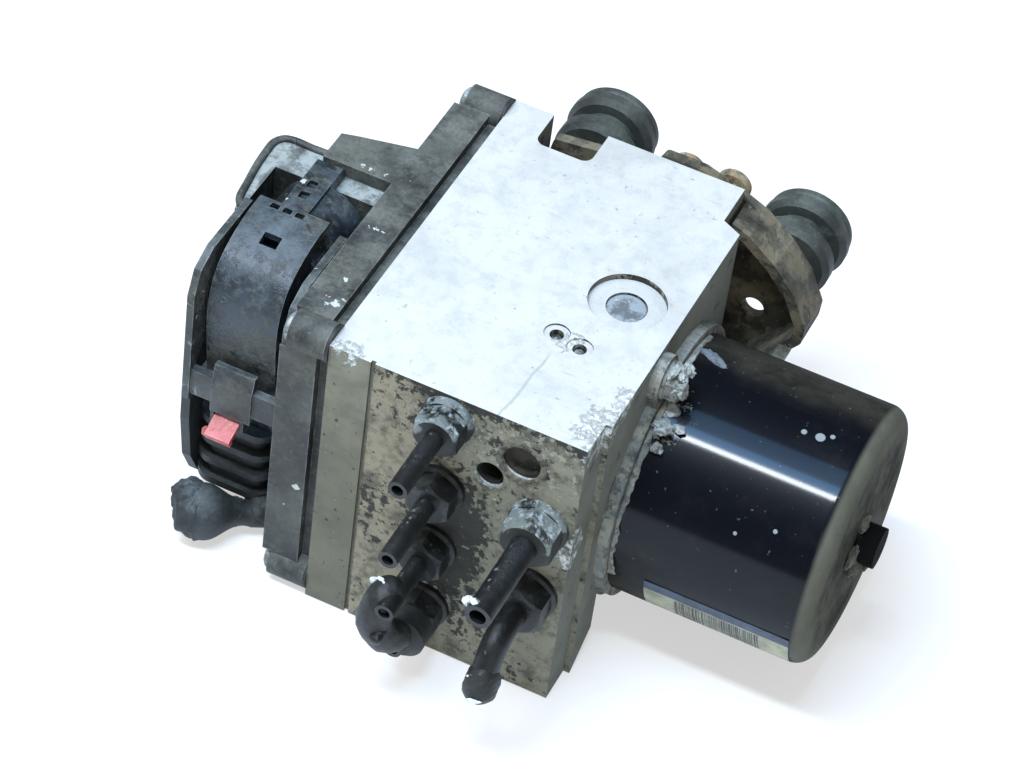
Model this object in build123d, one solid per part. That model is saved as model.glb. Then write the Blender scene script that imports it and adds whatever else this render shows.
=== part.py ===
from build123d import *
import math
import os

# Anti-lock brake module: valve block, pump motor, control unit with its harness plug, and bracket.
# Millimetres. While modelling, X = 0 is the control unit face of the block, Y = 0 its port face and
# Z = 0 its foot; every node is exported with its origin moved to the middle of the foot.

# ---------------------------------------------------------------- hydraulic block
BLOCK_X = 77.0
BLOCK_Y = 115.5
BLOCK_Z = 98.6
FRONT_STEP_X = 1.8
FRONT_STEP_Y = 11.5
BACK_STEP_X = 6.0
BACK_STEP_Y = 18.0
NOTCH_X = 12.0
NOTCH_WIDTH = 17.0
NOTCH_DEPTH = 13.5
NOTCH_CORNER = 3.0
EDGE_BREAK = 0.6
GROOVE_X = 12.2
GROOVE_WIDTH = 1.3
GROOVE_DEPTH = 1.0
RELIEF_DEPTH = 8.5
RELIEF_Y = 24.0
RELIEF_Z = 28.0
RELIEF_CHAMFER_Y = 12.0
RELIEF_CHAMFER_Z = 7.4

# clearances shared by the whole model
RUNNING = 0.05
SLIDING = 0.30
FIT = 0.02

# ---------------------------------------------------------------- motor and pump
MOTOR_Y = 56.7
MOTOR_Z = BLOCK_Z / 2 - 2.5
MOTOR_BORE_R = 15.0
MOTOR_BORE_DEPTH = 33.0
CAN_R = 38.05
CAN_WALL = 1.8
CAN_LENGTH = 58.2
CAN_EDGE = 5.0
FLANGE_R = 40.5
FLANGE_T = 3.0
FLANGE_BOLT_R = 45.5
FLANGE_EAR_R = 7.0
FLANGE_BOLT_ANGLES = (107.0, -60.0)
MOTOR_BOLT_R = 3.0
MOTOR_BOLT_LENGTH = 16.0
HUB_R = 6.0
HUB_LENGTH = 6.4
SHAFT_R = 4.0
SHAFT_TAIL_R = 3.0
ECCENTRICITY = 0.9
ECCENTRIC_R = 6.5
ECCENTRIC_RING_R = 9.5
ECCENTRIC_WIDTH = 8.4
BEARING_R = 11.0
BEARING_WIDTH = 7.0
SPIGOT_DEPTH = 4.0
MAGNET_T = 5.2
MAGNET_START = 8.0
MAGNET_LENGTH = CAN_LENGTH - 2 * MAGNET_START - 0.2
MAGNET_COUNT = 4
MAGNET_ARC = 68.0
AIR_GAP = 0.7
CORE_START = 16.0
CORE_LENGTH = CAN_LENGTH - CORE_START - 8.2
WINDING_OVERHANG = 3.2
CORE_TEETH = 10
SLOT_WIDTH = 5.0
SLOT_DEPTH = 13.0
COMMUTATOR_R = 9.0
COMMUTATOR_LENGTH = 7.0
BRUSH_WIDTH = 5.0
PUMP_X = 61.2
PISTON_R = 3.9
PUMP_PLUG_R = 5.8
LOWER_PLUG_LOW = 1.0
LOWER_PLUG_LENGTH = 6.6
PUMP_PLUG_REACH = MOTOR_Z - LOWER_PLUG_LOW - LOWER_PLUG_LENGTH
PUMP_GUIDE_REACH = PUMP_PLUG_REACH - 6.5
PISTON_START = ECCENTRIC_RING_R + ECCENTRICITY + RUNNING
PISTON_SPRING_ROOM = 8.75
PISTON_LENGTH = PUMP_PLUG_REACH - PISTON_SPRING_ROOM - PISTON_START
PUMP_RECESS_R = 11.0
PUMP_RECESS_DEPTH = 2.0
PUMP_PLUG_SET_BACK = 0.4
SPRING_WIRE = 1.0

# ---------------------------------------------------------------- accumulators
ACCUMULATOR_X = 24.0
ACCUMULATOR_YS = (36.0, 82.0)
ACCUMULATOR_R = 12.0
ACCUMULATOR_DEPTH = 30.0
ACCUMULATOR_PISTON_LENGTH = 8.0
ACCUMULATOR_CAP_T = 3.0
ACCUMULATOR_CAP_INSET = 1.2

# ---------------------------------------------------------------- ports on the front face
BRAKE_PORT_X = 35.8
BRAKE_PORT_ZS = tuple(BLOCK_Z - drop for drop in (8.7, 34.5, 57.6, 81.3))
SUPPLY_PORT_X = 65.3
SUPPLY_PORT_ZS = tuple(BLOCK_Z - drop for drop in (33.0, 59.5))
PORT_R = 5.0
PORT_DEPTH = 15.0
SUPPLY_PORT_R = 6.0
NUT_ACROSS_FLATS = 12.5
NUT_HEAD = 6.5
SUPPLY_NUT_ACROSS_FLATS = 14.5
SUPPLY_NUT_HEAD = 7.5
NUT_SKIRT = 2.2
TUBE_R = 2.8
TUBE_BORE = 1.7
SUPPLY_TUBE_R = 3.8
SUPPLY_TUBE_BORE = 2.4
BRAKE_STUBS = (30.0, 31.0, 29.0, 20.0)
TUBE_BOOT_R = 7.0
TUBE_BOOT_LENGTH = 8.5
SUPPLY_STUB = 38.0
BENT_STUB_RUNS = (11.0, 13.0)
BENT_STUB_RADIUS = 9.0
BENT_STUB_ANGLE = 55.0
MOUNT_HOLE = (49.5, BLOCK_Z - 22.3, 4.0, 15.0)
SMALL_HOLE = (49.2, 24.6, 2.4, 9.0)
FRONT_PLUG = (57.9, BLOCK_Z - 13.5, 6.4)
FRONT_PLUG_DEPTH = 8.0
FRONT_PLUG_INSET = 1.6
BALL_PORTS = ((49.8, 35.8), (57.4, 33.9))
BALL_SPOT_R = 3.7
BALL_R = 2.0

# ---------------------------------------------------------------- valves and control unit
VALVE_YS = (20.0, 42.0, 64.0, 86.0)
VALVE_ROWS = {"outlet_valves": BLOCK_Z - 45.6, "inlet_valves": BLOCK_Z - 21.6}
VALVE_R = 5.5
VALVE_DEPTH = 19.0
DOME_R = 4.0
DOME_LENGTH = 9.4
COIL_R = 8.6
COIL_LENGTH = 7.8
COIL_STAND_OFF = 1.6
TRAY_X = 14.8
TRAY_INSET_Y = 1.0
TRAY_LOW = 0.9
TRAY_TOP = BLOCK_Z - 0.6
TRAY_LID = 3.2
TRAY_WALL = 2.4
TRAY_RIM_X = 3.8
NECK_INSET = 3.0
GASKET_T = 1.0
BOARD_T = 1.6
SCREW_INSET_Y = 4.4
SCREW_TOP_Z = BLOCK_Z - 3.2
SCREW_LOW_Z = 5.6
SCREW_R = 1.9
BOSS_R = 5.5
BOSS_SET_BACK = 2.6
SCREW_HEAD_R = 4.2
SCREW_HEAD_T = 2.0
SCREW_GRIP = 10.0

# ---------------------------------------------------------------- tower behind the plug
TOWER_LEFT_FRONT = -48.8
TOWER_LEFT_BACK = -53.6
TOWER_FRONT_Y = 38.5
TOWER_BACK_Y = 72.8
TOWER_TOP = BLOCK_Z - 5.0
TOWER_LOW = 8.0
POCKET_LEFT = -47.2
POCKET_BACK_Y = 59.5
SHELF_LEFT = -36.0
SHELF_FRONT_Y = 66.0
SHELF_BACK_Y = 78.6
SHELF_TOP = BLOCK_Z - 0.6
BODY_WIDTH = 26.0
BODY_HIGH = BLOCK_Z - 1.6
BODY_LOW = BODY_HIGH - 59.0
HEADER_CENTRE_X = -30.75
HEADER_LOW = BODY_LOW + 6.0
HEADER_HIGH = BODY_HIGH - 9.0
HEADER_WIDTH = 18.0
HEADER_WALL = 1.6
HEADER_LENGTH = 13.0
PIN_ROWS = 2
PIN_COLUMNS = 8
PIN = 0.8

# ---------------------------------------------------------------- harness plug
BODY_FRONT_Y = 31.0
BODY_BACK_Y = 58.8
HOOD_LEFT = -42.4
HOOD_RIGHT = -21.1
HOOD_WALL = 2.0
HOOD_DROP = 2.0
HOOD_WINDOW = (-34.8, 25.6)
HOOD_SLOT_XS = (-38.2, -34.4, -30.6)
HOOD_BACK_Y = 41.0
HOOD_TOP = BODY_HIGH + 2.8
BOOT_LOW = 10.5
BOOT_RIBS = 4
BOOT_LEFT = -45.5
BOOT_RIGHT = -21.5
BOOT_FRONT_Y = 15.0
BOOT_BACK_Y = 36.0
BOOT_RIB = 2.4
BOOT_CORE_INSET = 2.6
GUARD_T = 2.6
LATCH_LEFT = -36.5
LATCH_RIGHT = -28.5
LATCH_TIP_Y = 65.2
LATCH_TOP = BODY_HIGH + 1.4
LATCH_T = 4.4
LEVER_PIVOT_Y = 45.0
LEVER_PIVOT_Z = BODY_HIGH - 17.0
LEVER_PIVOT_R = 3.0
LEVER_BOSS_R = 8.0
LEVER_T = 2.2
LEVER_SIDE_GAP = 0.4
LEVER_FRONT_Y = 7.8
LEVER_TOP = BODY_HIGH + 0.8
LEVER_BRIDGE_LOW = BODY_LOW + 9.6
LEVER_BRIDGE_HIGH = LEVER_BRIDGE_LOW + 12.4
LEVER_BRIDGE_T = 3.4
TONGUE_LEFT = -37.4
TONGUE_RIGHT = -25.0
TONGUE_TOP = LEVER_BRIDGE_LOW + 16.4
LOCK_LEFT = -36.0
LOCK_WIDTH = 7.7
LOCK_T = 1.5
LOCK_LENGTH = 11.5
LOCK_INNER_Y = 13.0
LOCK_LIP = 2.6
LOCK_TILT = 23.7
STUB_ROOT = (-25.5, 19.6)
STUB_START = (-19.5, 19.0, 4.9)
STUB_END = (-38.5, 4.0, 9.2)
STUB_NECK_R = 4.25
STUB_R = 8.2

# ---------------------------------------------------------------- bracket and rubber mounts
BRACKET_T = 3.2
RIM_DEPTH = 10.5
LOW_RIM_DEPTH = 20.0
RUBBER_MOUNTS = {"left": (24.0, BLOCK_Z - 14.2), "right": (86.0, BLOCK_Z - 23.4)}
RUBBER_R = 13.5
RUBBER_NEAR_R = 12.6
RUBBER_NECK_R = 9.2
RUBBER_LENGTH = 20.0
RUBBER_EDGE = 1.6
SLEEVE_R = 6.0
SLEEVE_BORE = 4.1
SLEEVE_PROUD = 1.2
BRACKET_HOLES = ((80.0, BLOCK_Z - 41.2, 3.4), (73.6, BLOCK_Z - 19.6, 2.4))
BOLT_HEAD_R = 5.2
BOLT_HEAD_T = 4.5
BRACKET_BOLTS = ((66.0, BLOCK_Z - 5.1), (52.0, BLOCK_Z - 5.6), (44.0, BLOCK_Z - 58.6))
BRACKET_RIM_SPLIT = BLOCK_Z - 43.6
BRACKET_BOLT_R = 3.0


# ---------------------------------------------------------------- drawing helpers
def rod(start, direction, radius, length):
    """A round bar from start along direction."""
    frame = Plane(origin=start, z_dir=direction)
    return frame * Cylinder(radius, length, align=(Align.CENTER, Align.CENTER, Align.MIN))


def pipe(start, direction, outer, inner, length):
    """A round bar with a hole right through."""
    return rod(start, direction, outer, length) - rod(start, direction, inner, length)


def turned(outline, start, direction):
    """A turned piece: outline holds (radius, distance) points, and direction is its axis."""
    face = make_face(Polyline([(r, 0, h) for r, h in outline], close=True))
    return Plane(origin=start, z_dir=direction) * revolve(face, Axis.Z)


def block(low, high):
    """A box between two corners."""
    size = [b - a for a, b in zip(low, high)]
    return Pos(*low) * Box(*size, align=(Align.MIN, Align.MIN, Align.MIN))


def along_x(face, x_from, x_to):
    """A flat outline in Y and Z, drawn out along X."""
    return extrude(Plane.YZ.offset(x_from) * face, x_to - x_from)


def along_y(face, y_from, y_to):
    """A flat outline in X and Z, drawn out along Y."""
    return extrude(Plane.XZ.offset(-y_from) * face, y_from - y_to)


def along_z(face, z_from, z_to):
    """A flat outline in X and Y, drawn out along Z."""
    return extrude(Plane.XY.offset(z_from) * face, z_to - z_from)


def polygon(points, corner=0.0):
    """A closed outline with straight sides, its corners rounded by corner."""
    face = make_face(Polyline(points, close=True))
    return fillet(face.vertices(), corner) if corner else face


def stadium(centre, width, low, high):
    """An upright outline with half round ends, width across, from low to high."""
    straight = high - low - width
    face = Rectangle(width, straight) + Pos(0, straight / 2) * Circle(width / 2)
    face += Pos(0, -straight / 2) * Circle(width / 2)
    return Pos(centre, (low + high) / 2) * face


def hexagon_bar(start, direction, across_flats, length):
    """A six-sided bar from start along direction."""
    face = RegularPolygon(across_flats / 2, 6, major_radius=False)
    return extrude(Plane(origin=start, z_dir=direction) * face, length)


def spring(centre_x, centre_y, low, high, radius, wire, turns):
    """An upright coil spring of square wire between two heights."""
    rise = high - low - wire
    path = Pos(centre_x, centre_y, low + wire / 2) * Helix(rise / turns, rise, radius)
    section = Plane(origin=path @ 0, z_dir=path % 0) * Rectangle(wire, wire)
    return sweep(section, path)


def motor_point(distance, angle, radius):
    """A point at a distance from the block's motor face, an angle and a radius about the motor axis."""
    turn = math.radians(angle)
    return (BLOCK_X + distance, MOTOR_Y + radius * math.cos(turn), MOTOR_Z + radius * math.sin(turn))


# ---------------------------------------------------------------- hydraulic block
def block_outline():
    """The extruded bar's section, seen from above."""
    right_front = BLOCK_X - FRONT_STEP_X
    right_back = BLOCK_X - BACK_STEP_X
    points = [
        (0, 0),
        (right_front, 0),
        (right_front, FRONT_STEP_Y),
        (BLOCK_X, FRONT_STEP_Y),
        (BLOCK_X, BLOCK_Y - BACK_STEP_Y),
        (right_back, BLOCK_Y - BACK_STEP_Y + BACK_STEP_X / 2),
        (right_back, BLOCK_Y),
        (NOTCH_X + NOTCH_WIDTH, BLOCK_Y),
        (NOTCH_X + NOTCH_WIDTH, BLOCK_Y - NOTCH_DEPTH),
        (NOTCH_X, BLOCK_Y - NOTCH_DEPTH),
        (NOTCH_X, BLOCK_Y),
        (0, BLOCK_Y),
    ]
    face = make_face(Polyline(points, close=True))
    inner = [v for v in face.vertices() if abs(v.Y - (BLOCK_Y - NOTCH_DEPTH)) < 0.1]
    return fillet(inner, NOTCH_CORNER)


def motor_relief():
    """The corner under the motor that is machined away, around the motor's round pad."""
    wall = BLOCK_X - RELIEF_DEPTH
    cut = block((wall, RELIEF_Y, -1), (BLOCK_X + 1, BLOCK_Y + 1, RELIEF_Z))
    cut -= rod((wall - 1, MOTOR_Y, MOTOR_Z), (1, 0, 0), FLANGE_R + 1.0, RELIEF_DEPTH + 3)
    for angle in FLANGE_BOLT_ANGLES:
        x, y, z = motor_point(-RELIEF_DEPTH - 1, angle, FLANGE_BOLT_R)
        cut -= rod((x, y, z), (1, 0, 0), FLANGE_EAR_R + 0.2, RELIEF_DEPTH + 3)
    return cut


def relief_chamfer():
    """The sloped end of the lower right edge, in front of the relief."""
    outline = [(RELIEF_CHAMFER_Y, 0), (RELIEF_Y + 0.1, 0), (RELIEF_Y + 0.1, RELIEF_CHAMFER_Z)]
    return along_x(polygon(outline), BLOCK_X - RELIEF_DEPTH, BLOCK_X + 1)


def pump_bores():
    """The two piston bores, opposite each other across the eccentric."""
    reach = BLOCK_Z - MOTOR_Z
    cut = rod((PUMP_X, MOTOR_Y, MOTOR_Z), (0, 0, 1), PISTON_R + RUNNING, PUMP_GUIDE_REACH)
    cut += rod((PUMP_X, MOTOR_Y, MOTOR_Z + PUMP_GUIDE_REACH), (0, 0, 1), PUMP_PLUG_R, reach)
    cut += rod((PUMP_X, MOTOR_Y, BLOCK_Z - PUMP_RECESS_DEPTH), (0, 0, 1), PUMP_RECESS_R, 5)
    cut += rod((PUMP_X, MOTOR_Y, MOTOR_Z), (0, 0, -1), PISTON_R + RUNNING, PUMP_GUIDE_REACH)
    cut += rod((PUMP_X, MOTOR_Y, MOTOR_Z - PUMP_GUIDE_REACH), (0, 0, -1), PUMP_PLUG_R, reach)
    return cut


def shaft_bores():
    """The stepped bore that takes the motor's spigot, the eccentric and the shaft's tip."""
    cut = rod((BLOCK_X + 1, MOTOR_Y, MOTOR_Z), (-1, 0, 0), MOTOR_BORE_R, MOTOR_BORE_DEPTH + 1)
    cut += rod((BLOCK_X, MOTOR_Y, MOTOR_Z), (-1, 0, 0), SHAFT_R + RUNNING, MOTOR_BORE_DEPTH + 6)
    return cut


def front_ports():
    """Every drilled or bored feature of the port face."""
    cut = Part()
    for z in BRAKE_PORT_ZS:
        cut += rod((BRAKE_PORT_X, -1, z), (0, 1, 0), PORT_R, PORT_DEPTH + 1)
        cut += rod((BRAKE_PORT_X, 0, z), (0, 1, 0), TUBE_BORE, PORT_DEPTH + 6)
    for z in SUPPLY_PORT_ZS:
        cut += rod((SUPPLY_PORT_X, -1, z), (0, 1, 0), SUPPLY_PORT_R, PORT_DEPTH + 1)
        cut += rod((SUPPLY_PORT_X, 0, z), (0, 1, 0), SUPPLY_TUBE_BORE, PORT_DEPTH + 6)
    for x, z, radius, depth in (MOUNT_HOLE, SMALL_HOLE):
        cut += rod((x, -1, z), (0, 1, 0), radius, depth + 1)
    x, z, radius = FRONT_PLUG
    cut += rod((x, -1, z), (0, 1, 0), radius, FRONT_PLUG_DEPTH + 1)
    return cut


def face_bores():
    """Valve bores and screw holes of the control unit face."""
    cut = Part()
    for z in VALVE_ROWS.values():
        for y in VALVE_YS:
            cut += rod((-1, y, z), (1, 0, 0), VALVE_R, VALVE_DEPTH + 1)
    for y, z in screw_places():
        cut += rod((-1, y, z), (1, 0, 0), SCREW_R, SCREW_GRIP + 1)
    return cut


def hydraulic_block():
    """The aluminium valve block with all its bores."""
    body = along_z(block_outline(), 0, BLOCK_Z)
    body -= block((GROOVE_X, -1, -1), (GROOVE_X + GROOVE_WIDTH, GROOVE_DEPTH, BLOCK_Z + 1))
    body -= motor_relief() + relief_chamfer()
    body -= shaft_bores()
    body -= pump_bores()
    body -= front_ports()
    body -= face_bores()
    for y in ACCUMULATOR_YS:
        body -= rod((ACCUMULATOR_X, y, -1), (0, 0, 1), ACCUMULATOR_R, ACCUMULATOR_DEPTH + 1)
    for x, y in BALL_PORTS:
        body -= rod((x, y, BLOCK_Z - 0.6), (0, 0, 1), BALL_SPOT_R, 2)
        body -= rod((x, y, BLOCK_Z - 6), (0, 0, 1), BALL_R, 8)
    for angle in FLANGE_BOLT_ANGLES:
        start = motor_point(1, angle, FLANGE_BOLT_R)
        body -= rod(start, (-1, 0, 0), MOTOR_BOLT_R, MOTOR_BOLT_LENGTH - FLANGE_T + 2)
    for x, z in BRACKET_BOLTS:
        body -= rod((x, BLOCK_Y + 1, z), (0, -1, 0), BRACKET_BOLT_R, 13)
    return body


def block_plugs():
    """What closes the block's bores."""
    plug_top = BLOCK_Z - PUMP_RECESS_DEPTH - PUMP_PLUG_SET_BACK
    x, z, bore = FRONT_PLUG
    radius = bore - FIT
    front = turned([(0, 0), (radius, 0), (radius, 6), (radius - 1, 6), (radius - 1.6, 4.6), (0, 4.6)],
                   (x, FRONT_PLUG_INSET + 6, z), (0, -1, 0))
    upper = rod((PUMP_X, MOTOR_Y, MOTOR_Z + PUMP_PLUG_REACH), (0, 0, 1), PUMP_PLUG_R - FIT,
                plug_top - MOTOR_Z - PUMP_PLUG_REACH)
    lower = rod((PUMP_X, MOTOR_Y, LOWER_PLUG_LOW), (0, 0, 1), PUMP_PLUG_R - FIT, LOWER_PLUG_LENGTH)
    ball = [(0, 0), (BALL_R - FIT, 0), (BALL_R - FIT, 2.2), (BALL_R - 0.8, 3.3), (0, 3.7)]
    balls = [turned(ball, (x, y, BLOCK_Z - 5), (0, 0, 1)) for x, y in BALL_PORTS]
    return {
        "pump_plug_upper": chamfer(upper.edges().sort_by(Axis.Z)[-1], 0.5),
        "pump_plug_lower": lower,
        "front_port_plug": front,
        "ball_plugs": Compound(children=balls),
    }


# ---------------------------------------------------------------- pump and accumulators
def pump_parts():
    """The pistons at their outer dead centre, and their springs."""
    parts = {}
    for name, side in (("upper", 1), ("lower", -1)):
        start = (PUMP_X, MOTOR_Y, MOTOR_Z + side * PISTON_START)
        rounded = chamfer(rod(start, (0, 0, side), PISTON_R, PISTON_LENGTH).edges(), 0.5)
        parts[f"pump_piston_{name}"] = rounded
        near = PISTON_START + PISTON_LENGTH + RUNNING
        low = MOTOR_Z + side * (near if side > 0 else PUMP_PLUG_REACH)
        high = MOTOR_Z + side * (PUMP_PLUG_REACH if side > 0 else near)
        parts[f"piston_spring_{name}"] = spring(PUMP_X, MOTOR_Y, low + 0.05, high - 0.05, 3.0,
                                                SPRING_WIRE, 3.5)
    return parts


def accumulator_parts():
    """Low-pressure accumulators: a cup piston, its spring and a cap in each bore of the foot."""
    parts = {}
    caps = []
    spring_low = ACCUMULATOR_CAP_INSET + ACCUMULATOR_CAP_T
    piston_low = ACCUMULATOR_DEPTH - ACCUMULATOR_PISTON_LENGTH - RUNNING
    for name, y in zip(("front", "rear"), ACCUMULATOR_YS):
        radius = ACCUMULATOR_R - RUNNING
        outline = [(0, 3), (radius - 2, 3), (radius - 2, 0), (radius, 0),
                   (radius, ACCUMULATOR_PISTON_LENGTH), (0, ACCUMULATOR_PISTON_LENGTH)]
        place = (ACCUMULATOR_X, y, piston_low)
        parts[f"accumulator_piston_{name}"] = turned(outline, place, (0, 0, 1))
        parts[f"accumulator_spring_{name}"] = spring(ACCUMULATOR_X, y, spring_low + 0.15, piston_low + 2.8,
                                                     7.5, 1.6, 4)
        edge = ACCUMULATOR_R - FIT
        cap = [(0, 1), (edge - 3, 1), (edge - 2, 0), (edge, 0), (edge, ACCUMULATOR_CAP_T),
               (0, ACCUMULATOR_CAP_T)]
        caps.append(turned(cap, (ACCUMULATOR_X, y, ACCUMULATOR_CAP_INSET), (0, 0, 1)))
    parts["accumulator_caps"] = Compound(children=caps)
    return parts


# ---------------------------------------------------------------- tube nuts and tube stubs
def tube_nut(x, z, port_r, flats, head, tube_r):
    """A tube nut seated in its port: threaded stem, round skirt, hexagon and a chamfered nose."""
    nut = rod((x, 0, z), (0, 1, 0), port_r - FIT, PORT_DEPTH - 4)
    nut += turned([(0, 0), (flats / 2 + 1.4, 0), (flats / 2 + 1.4, NUT_SKIRT - 0.8),
                   (flats / 2 + 0.6, NUT_SKIRT), (0, NUT_SKIRT)], (x, 0, z), (0, -1, 0))
    hexagon = hexagon_bar((x, -NUT_SKIRT, z), (0, -1, 0), flats, head)
    cone = turned([(0, 0), (flats / 2 + 1.2, 0), (flats / 2 + 1.2, head - 1.5),
                   (flats / 2 - 0.6, head), (0, head)], (x, -NUT_SKIRT, z), (0, -1, 0))
    nut += hexagon & cone
    return nut - rod((x, PORT_DEPTH, z), (0, -1, 0), tube_r, PORT_DEPTH + NUT_SKIRT + head + 1)


def tube_stub(x, z, outer, inner, reach):
    """A straight tube, cut off at reach in front of the block, with its flare in the port."""
    flare_y = PORT_DEPTH - 4
    length = reach + flare_y
    outline = [(inner, 0), (outer, 0), (outer, length), (inner, length)]
    stub = turned(outline, (x, flare_y, z), (0, -1, 0))
    flare = turned([(inner, 0), (inner + 0.6, 0), (outer + 1.4, -1.6), (outer + 1.4, -3.4), (inner, -3.4)],
                   (x, flare_y, z), (0, -1, 0))
    return stub + flare


def bent_tube_stub(x, z, outer, inner):
    """The lower supply tube: it leaves the nut, turns down and is cut off."""
    first, last = BENT_STUB_RUNS
    first += SUPPLY_NUT_HEAD + NUT_SKIRT
    turn = math.radians(BENT_STUB_ANGLE)
    corner = (x, -first, z)
    tip = (x, -first - last * math.cos(turn), z - last * math.sin(turn))
    line = FilletPolyline((x, PORT_DEPTH - 4, z), corner, tip, radius=BENT_STUB_RADIUS)
    frame = Plane(origin=line @ 0, z_dir=line % 0)
    return sweep(frame * (Circle(outer) - Circle(inner)), line)


def line_fittings():
    """All six nuts and their cut tubes."""
    parts = {}
    for number, (z, reach) in enumerate(zip(BRAKE_PORT_ZS, BRAKE_STUBS), start=1):
        parts[f"brake_nut_{number}"] = tube_nut(BRAKE_PORT_X, z, PORT_R, NUT_ACROSS_FLATS, NUT_HEAD,
                                                TUBE_R + FIT)
        parts[f"brake_tube_{number}"] = tube_stub(BRAKE_PORT_X, z, TUBE_R, TUBE_BORE, reach)
    for number, z in enumerate(SUPPLY_PORT_ZS, start=1):
        parts[f"supply_nut_{number}"] = tube_nut(SUPPLY_PORT_X, z, SUPPLY_PORT_R, SUPPLY_NUT_ACROSS_FLATS,
                                                 SUPPLY_NUT_HEAD, SUPPLY_TUBE_R + FIT)
    parts["supply_tube_1"] = tube_stub(SUPPLY_PORT_X, SUPPLY_PORT_ZS[0], SUPPLY_TUBE_R, SUPPLY_TUBE_BORE,
                                       SUPPLY_STUB)
    parts["supply_tube_2"] = bent_tube_stub(SUPPLY_PORT_X, SUPPLY_PORT_ZS[1], SUPPLY_TUBE_R,
                                            SUPPLY_TUBE_BORE)
    nose = (BRAKE_PORT_X, -NUT_SKIRT - NUT_HEAD, BRAKE_PORT_ZS[-1])
    outline = [(TUBE_R + FIT, 0), (TUBE_BOOT_R, 0), (TUBE_BOOT_R, TUBE_BOOT_LENGTH - 2.5),
               (TUBE_BOOT_R - 2.5, TUBE_BOOT_LENGTH), (TUBE_R + FIT, TUBE_BOOT_LENGTH)]
    parts["tube_boot"] = turned(outline, nose, (0, -1, 0))
    return parts


# ---------------------------------------------------------------- motor
def motor_casing():
    """The flange with its ears and spigot, and the deep drawn can."""
    axis = (BLOCK_X, MOTOR_Y, MOTOR_Z)
    flange = rod(axis, (1, 0, 0), FLANGE_R, FLANGE_T)
    for angle in FLANGE_BOLT_ANGLES:
        flange += rod(motor_point(0, angle, FLANGE_BOLT_R), (1, 0, 0), FLANGE_EAR_R, FLANGE_T)
    flange += rod(axis, (-1, 0, 0), MOTOR_BORE_R - FIT, SPIGOT_DEPTH)
    seat = rod((BLOCK_X - SPIGOT_DEPTH, MOTOR_Y, MOTOR_Z), (1, 0, 0), BEARING_R, BEARING_WIDTH)
    flange -= seat
    for angle in FLANGE_BOLT_ANGLES:
        flange -= rod(motor_point(-1, angle, FLANGE_BOLT_R), (1, 0, 0), MOTOR_BOLT_R + 0.2, FLANGE_T + 2)
    inner = CAN_R - CAN_WALL
    outline = [
        (inner, 0), (CAN_R, 0), (CAN_R, CAN_LENGTH), (HUB_R, CAN_LENGTH),
        (HUB_R, CAN_LENGTH + HUB_LENGTH), (0, CAN_LENGTH + HUB_LENGTH),
        (0, CAN_LENGTH + HUB_LENGTH - 1.5), (SHAFT_TAIL_R + 1.5, CAN_LENGTH + HUB_LENGTH - 1.5),
        (SHAFT_TAIL_R + 1.5, CAN_LENGTH - CAN_WALL), (inner, CAN_LENGTH - CAN_WALL),
    ]
    can = turned(outline, (BLOCK_X + FLANGE_T, MOTOR_Y, MOTOR_Z), (1, 0, 0))
    end = BLOCK_X + FLANGE_T + CAN_LENGTH
    rim = [e for e in can.edges() if abs(e.center().X - end) < 0.1 and e.length > 6 * CAN_R]
    can = fillet(rim, CAN_EDGE)
    corner = [e for e in can.edges() if abs(e.center().X - end + CAN_WALL) < 0.1 and e.length > 5.5 * inner]
    return {"motor_flange": flange, "motor_can": fillet(corner, CAN_EDGE - CAN_WALL)}


def motor_magnets():
    """Four arc magnets glued inside the can."""
    outer = CAN_R - CAN_WALL - FIT
    start = BLOCK_X + FLANGE_T + MAGNET_START
    ring = pipe((start, MOTOR_Y, MOTOR_Z), (1, 0, 0), outer, outer - MAGNET_T, MAGNET_LENGTH)
    pieces = []
    half = math.radians(MAGNET_ARC / 2)
    for index in range(MAGNET_COUNT):
        reach = 2 * outer
        wedge = make_face(Polyline([(0, 0), (reach * math.cos(half), -reach * math.sin(half)),
                                    (reach * math.cos(half), reach * math.sin(half))], close=True))
        placed = Pos(MOTOR_Y, MOTOR_Z) * Rot(0, 0, 45 + index * 360 / MAGNET_COUNT) * wedge
        pieces.append(ring & along_x(placed, start - 1, start + MAGNET_LENGTH + 1))
    return Compound(children=[s for p in pieces for s in p.solids()])


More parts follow.
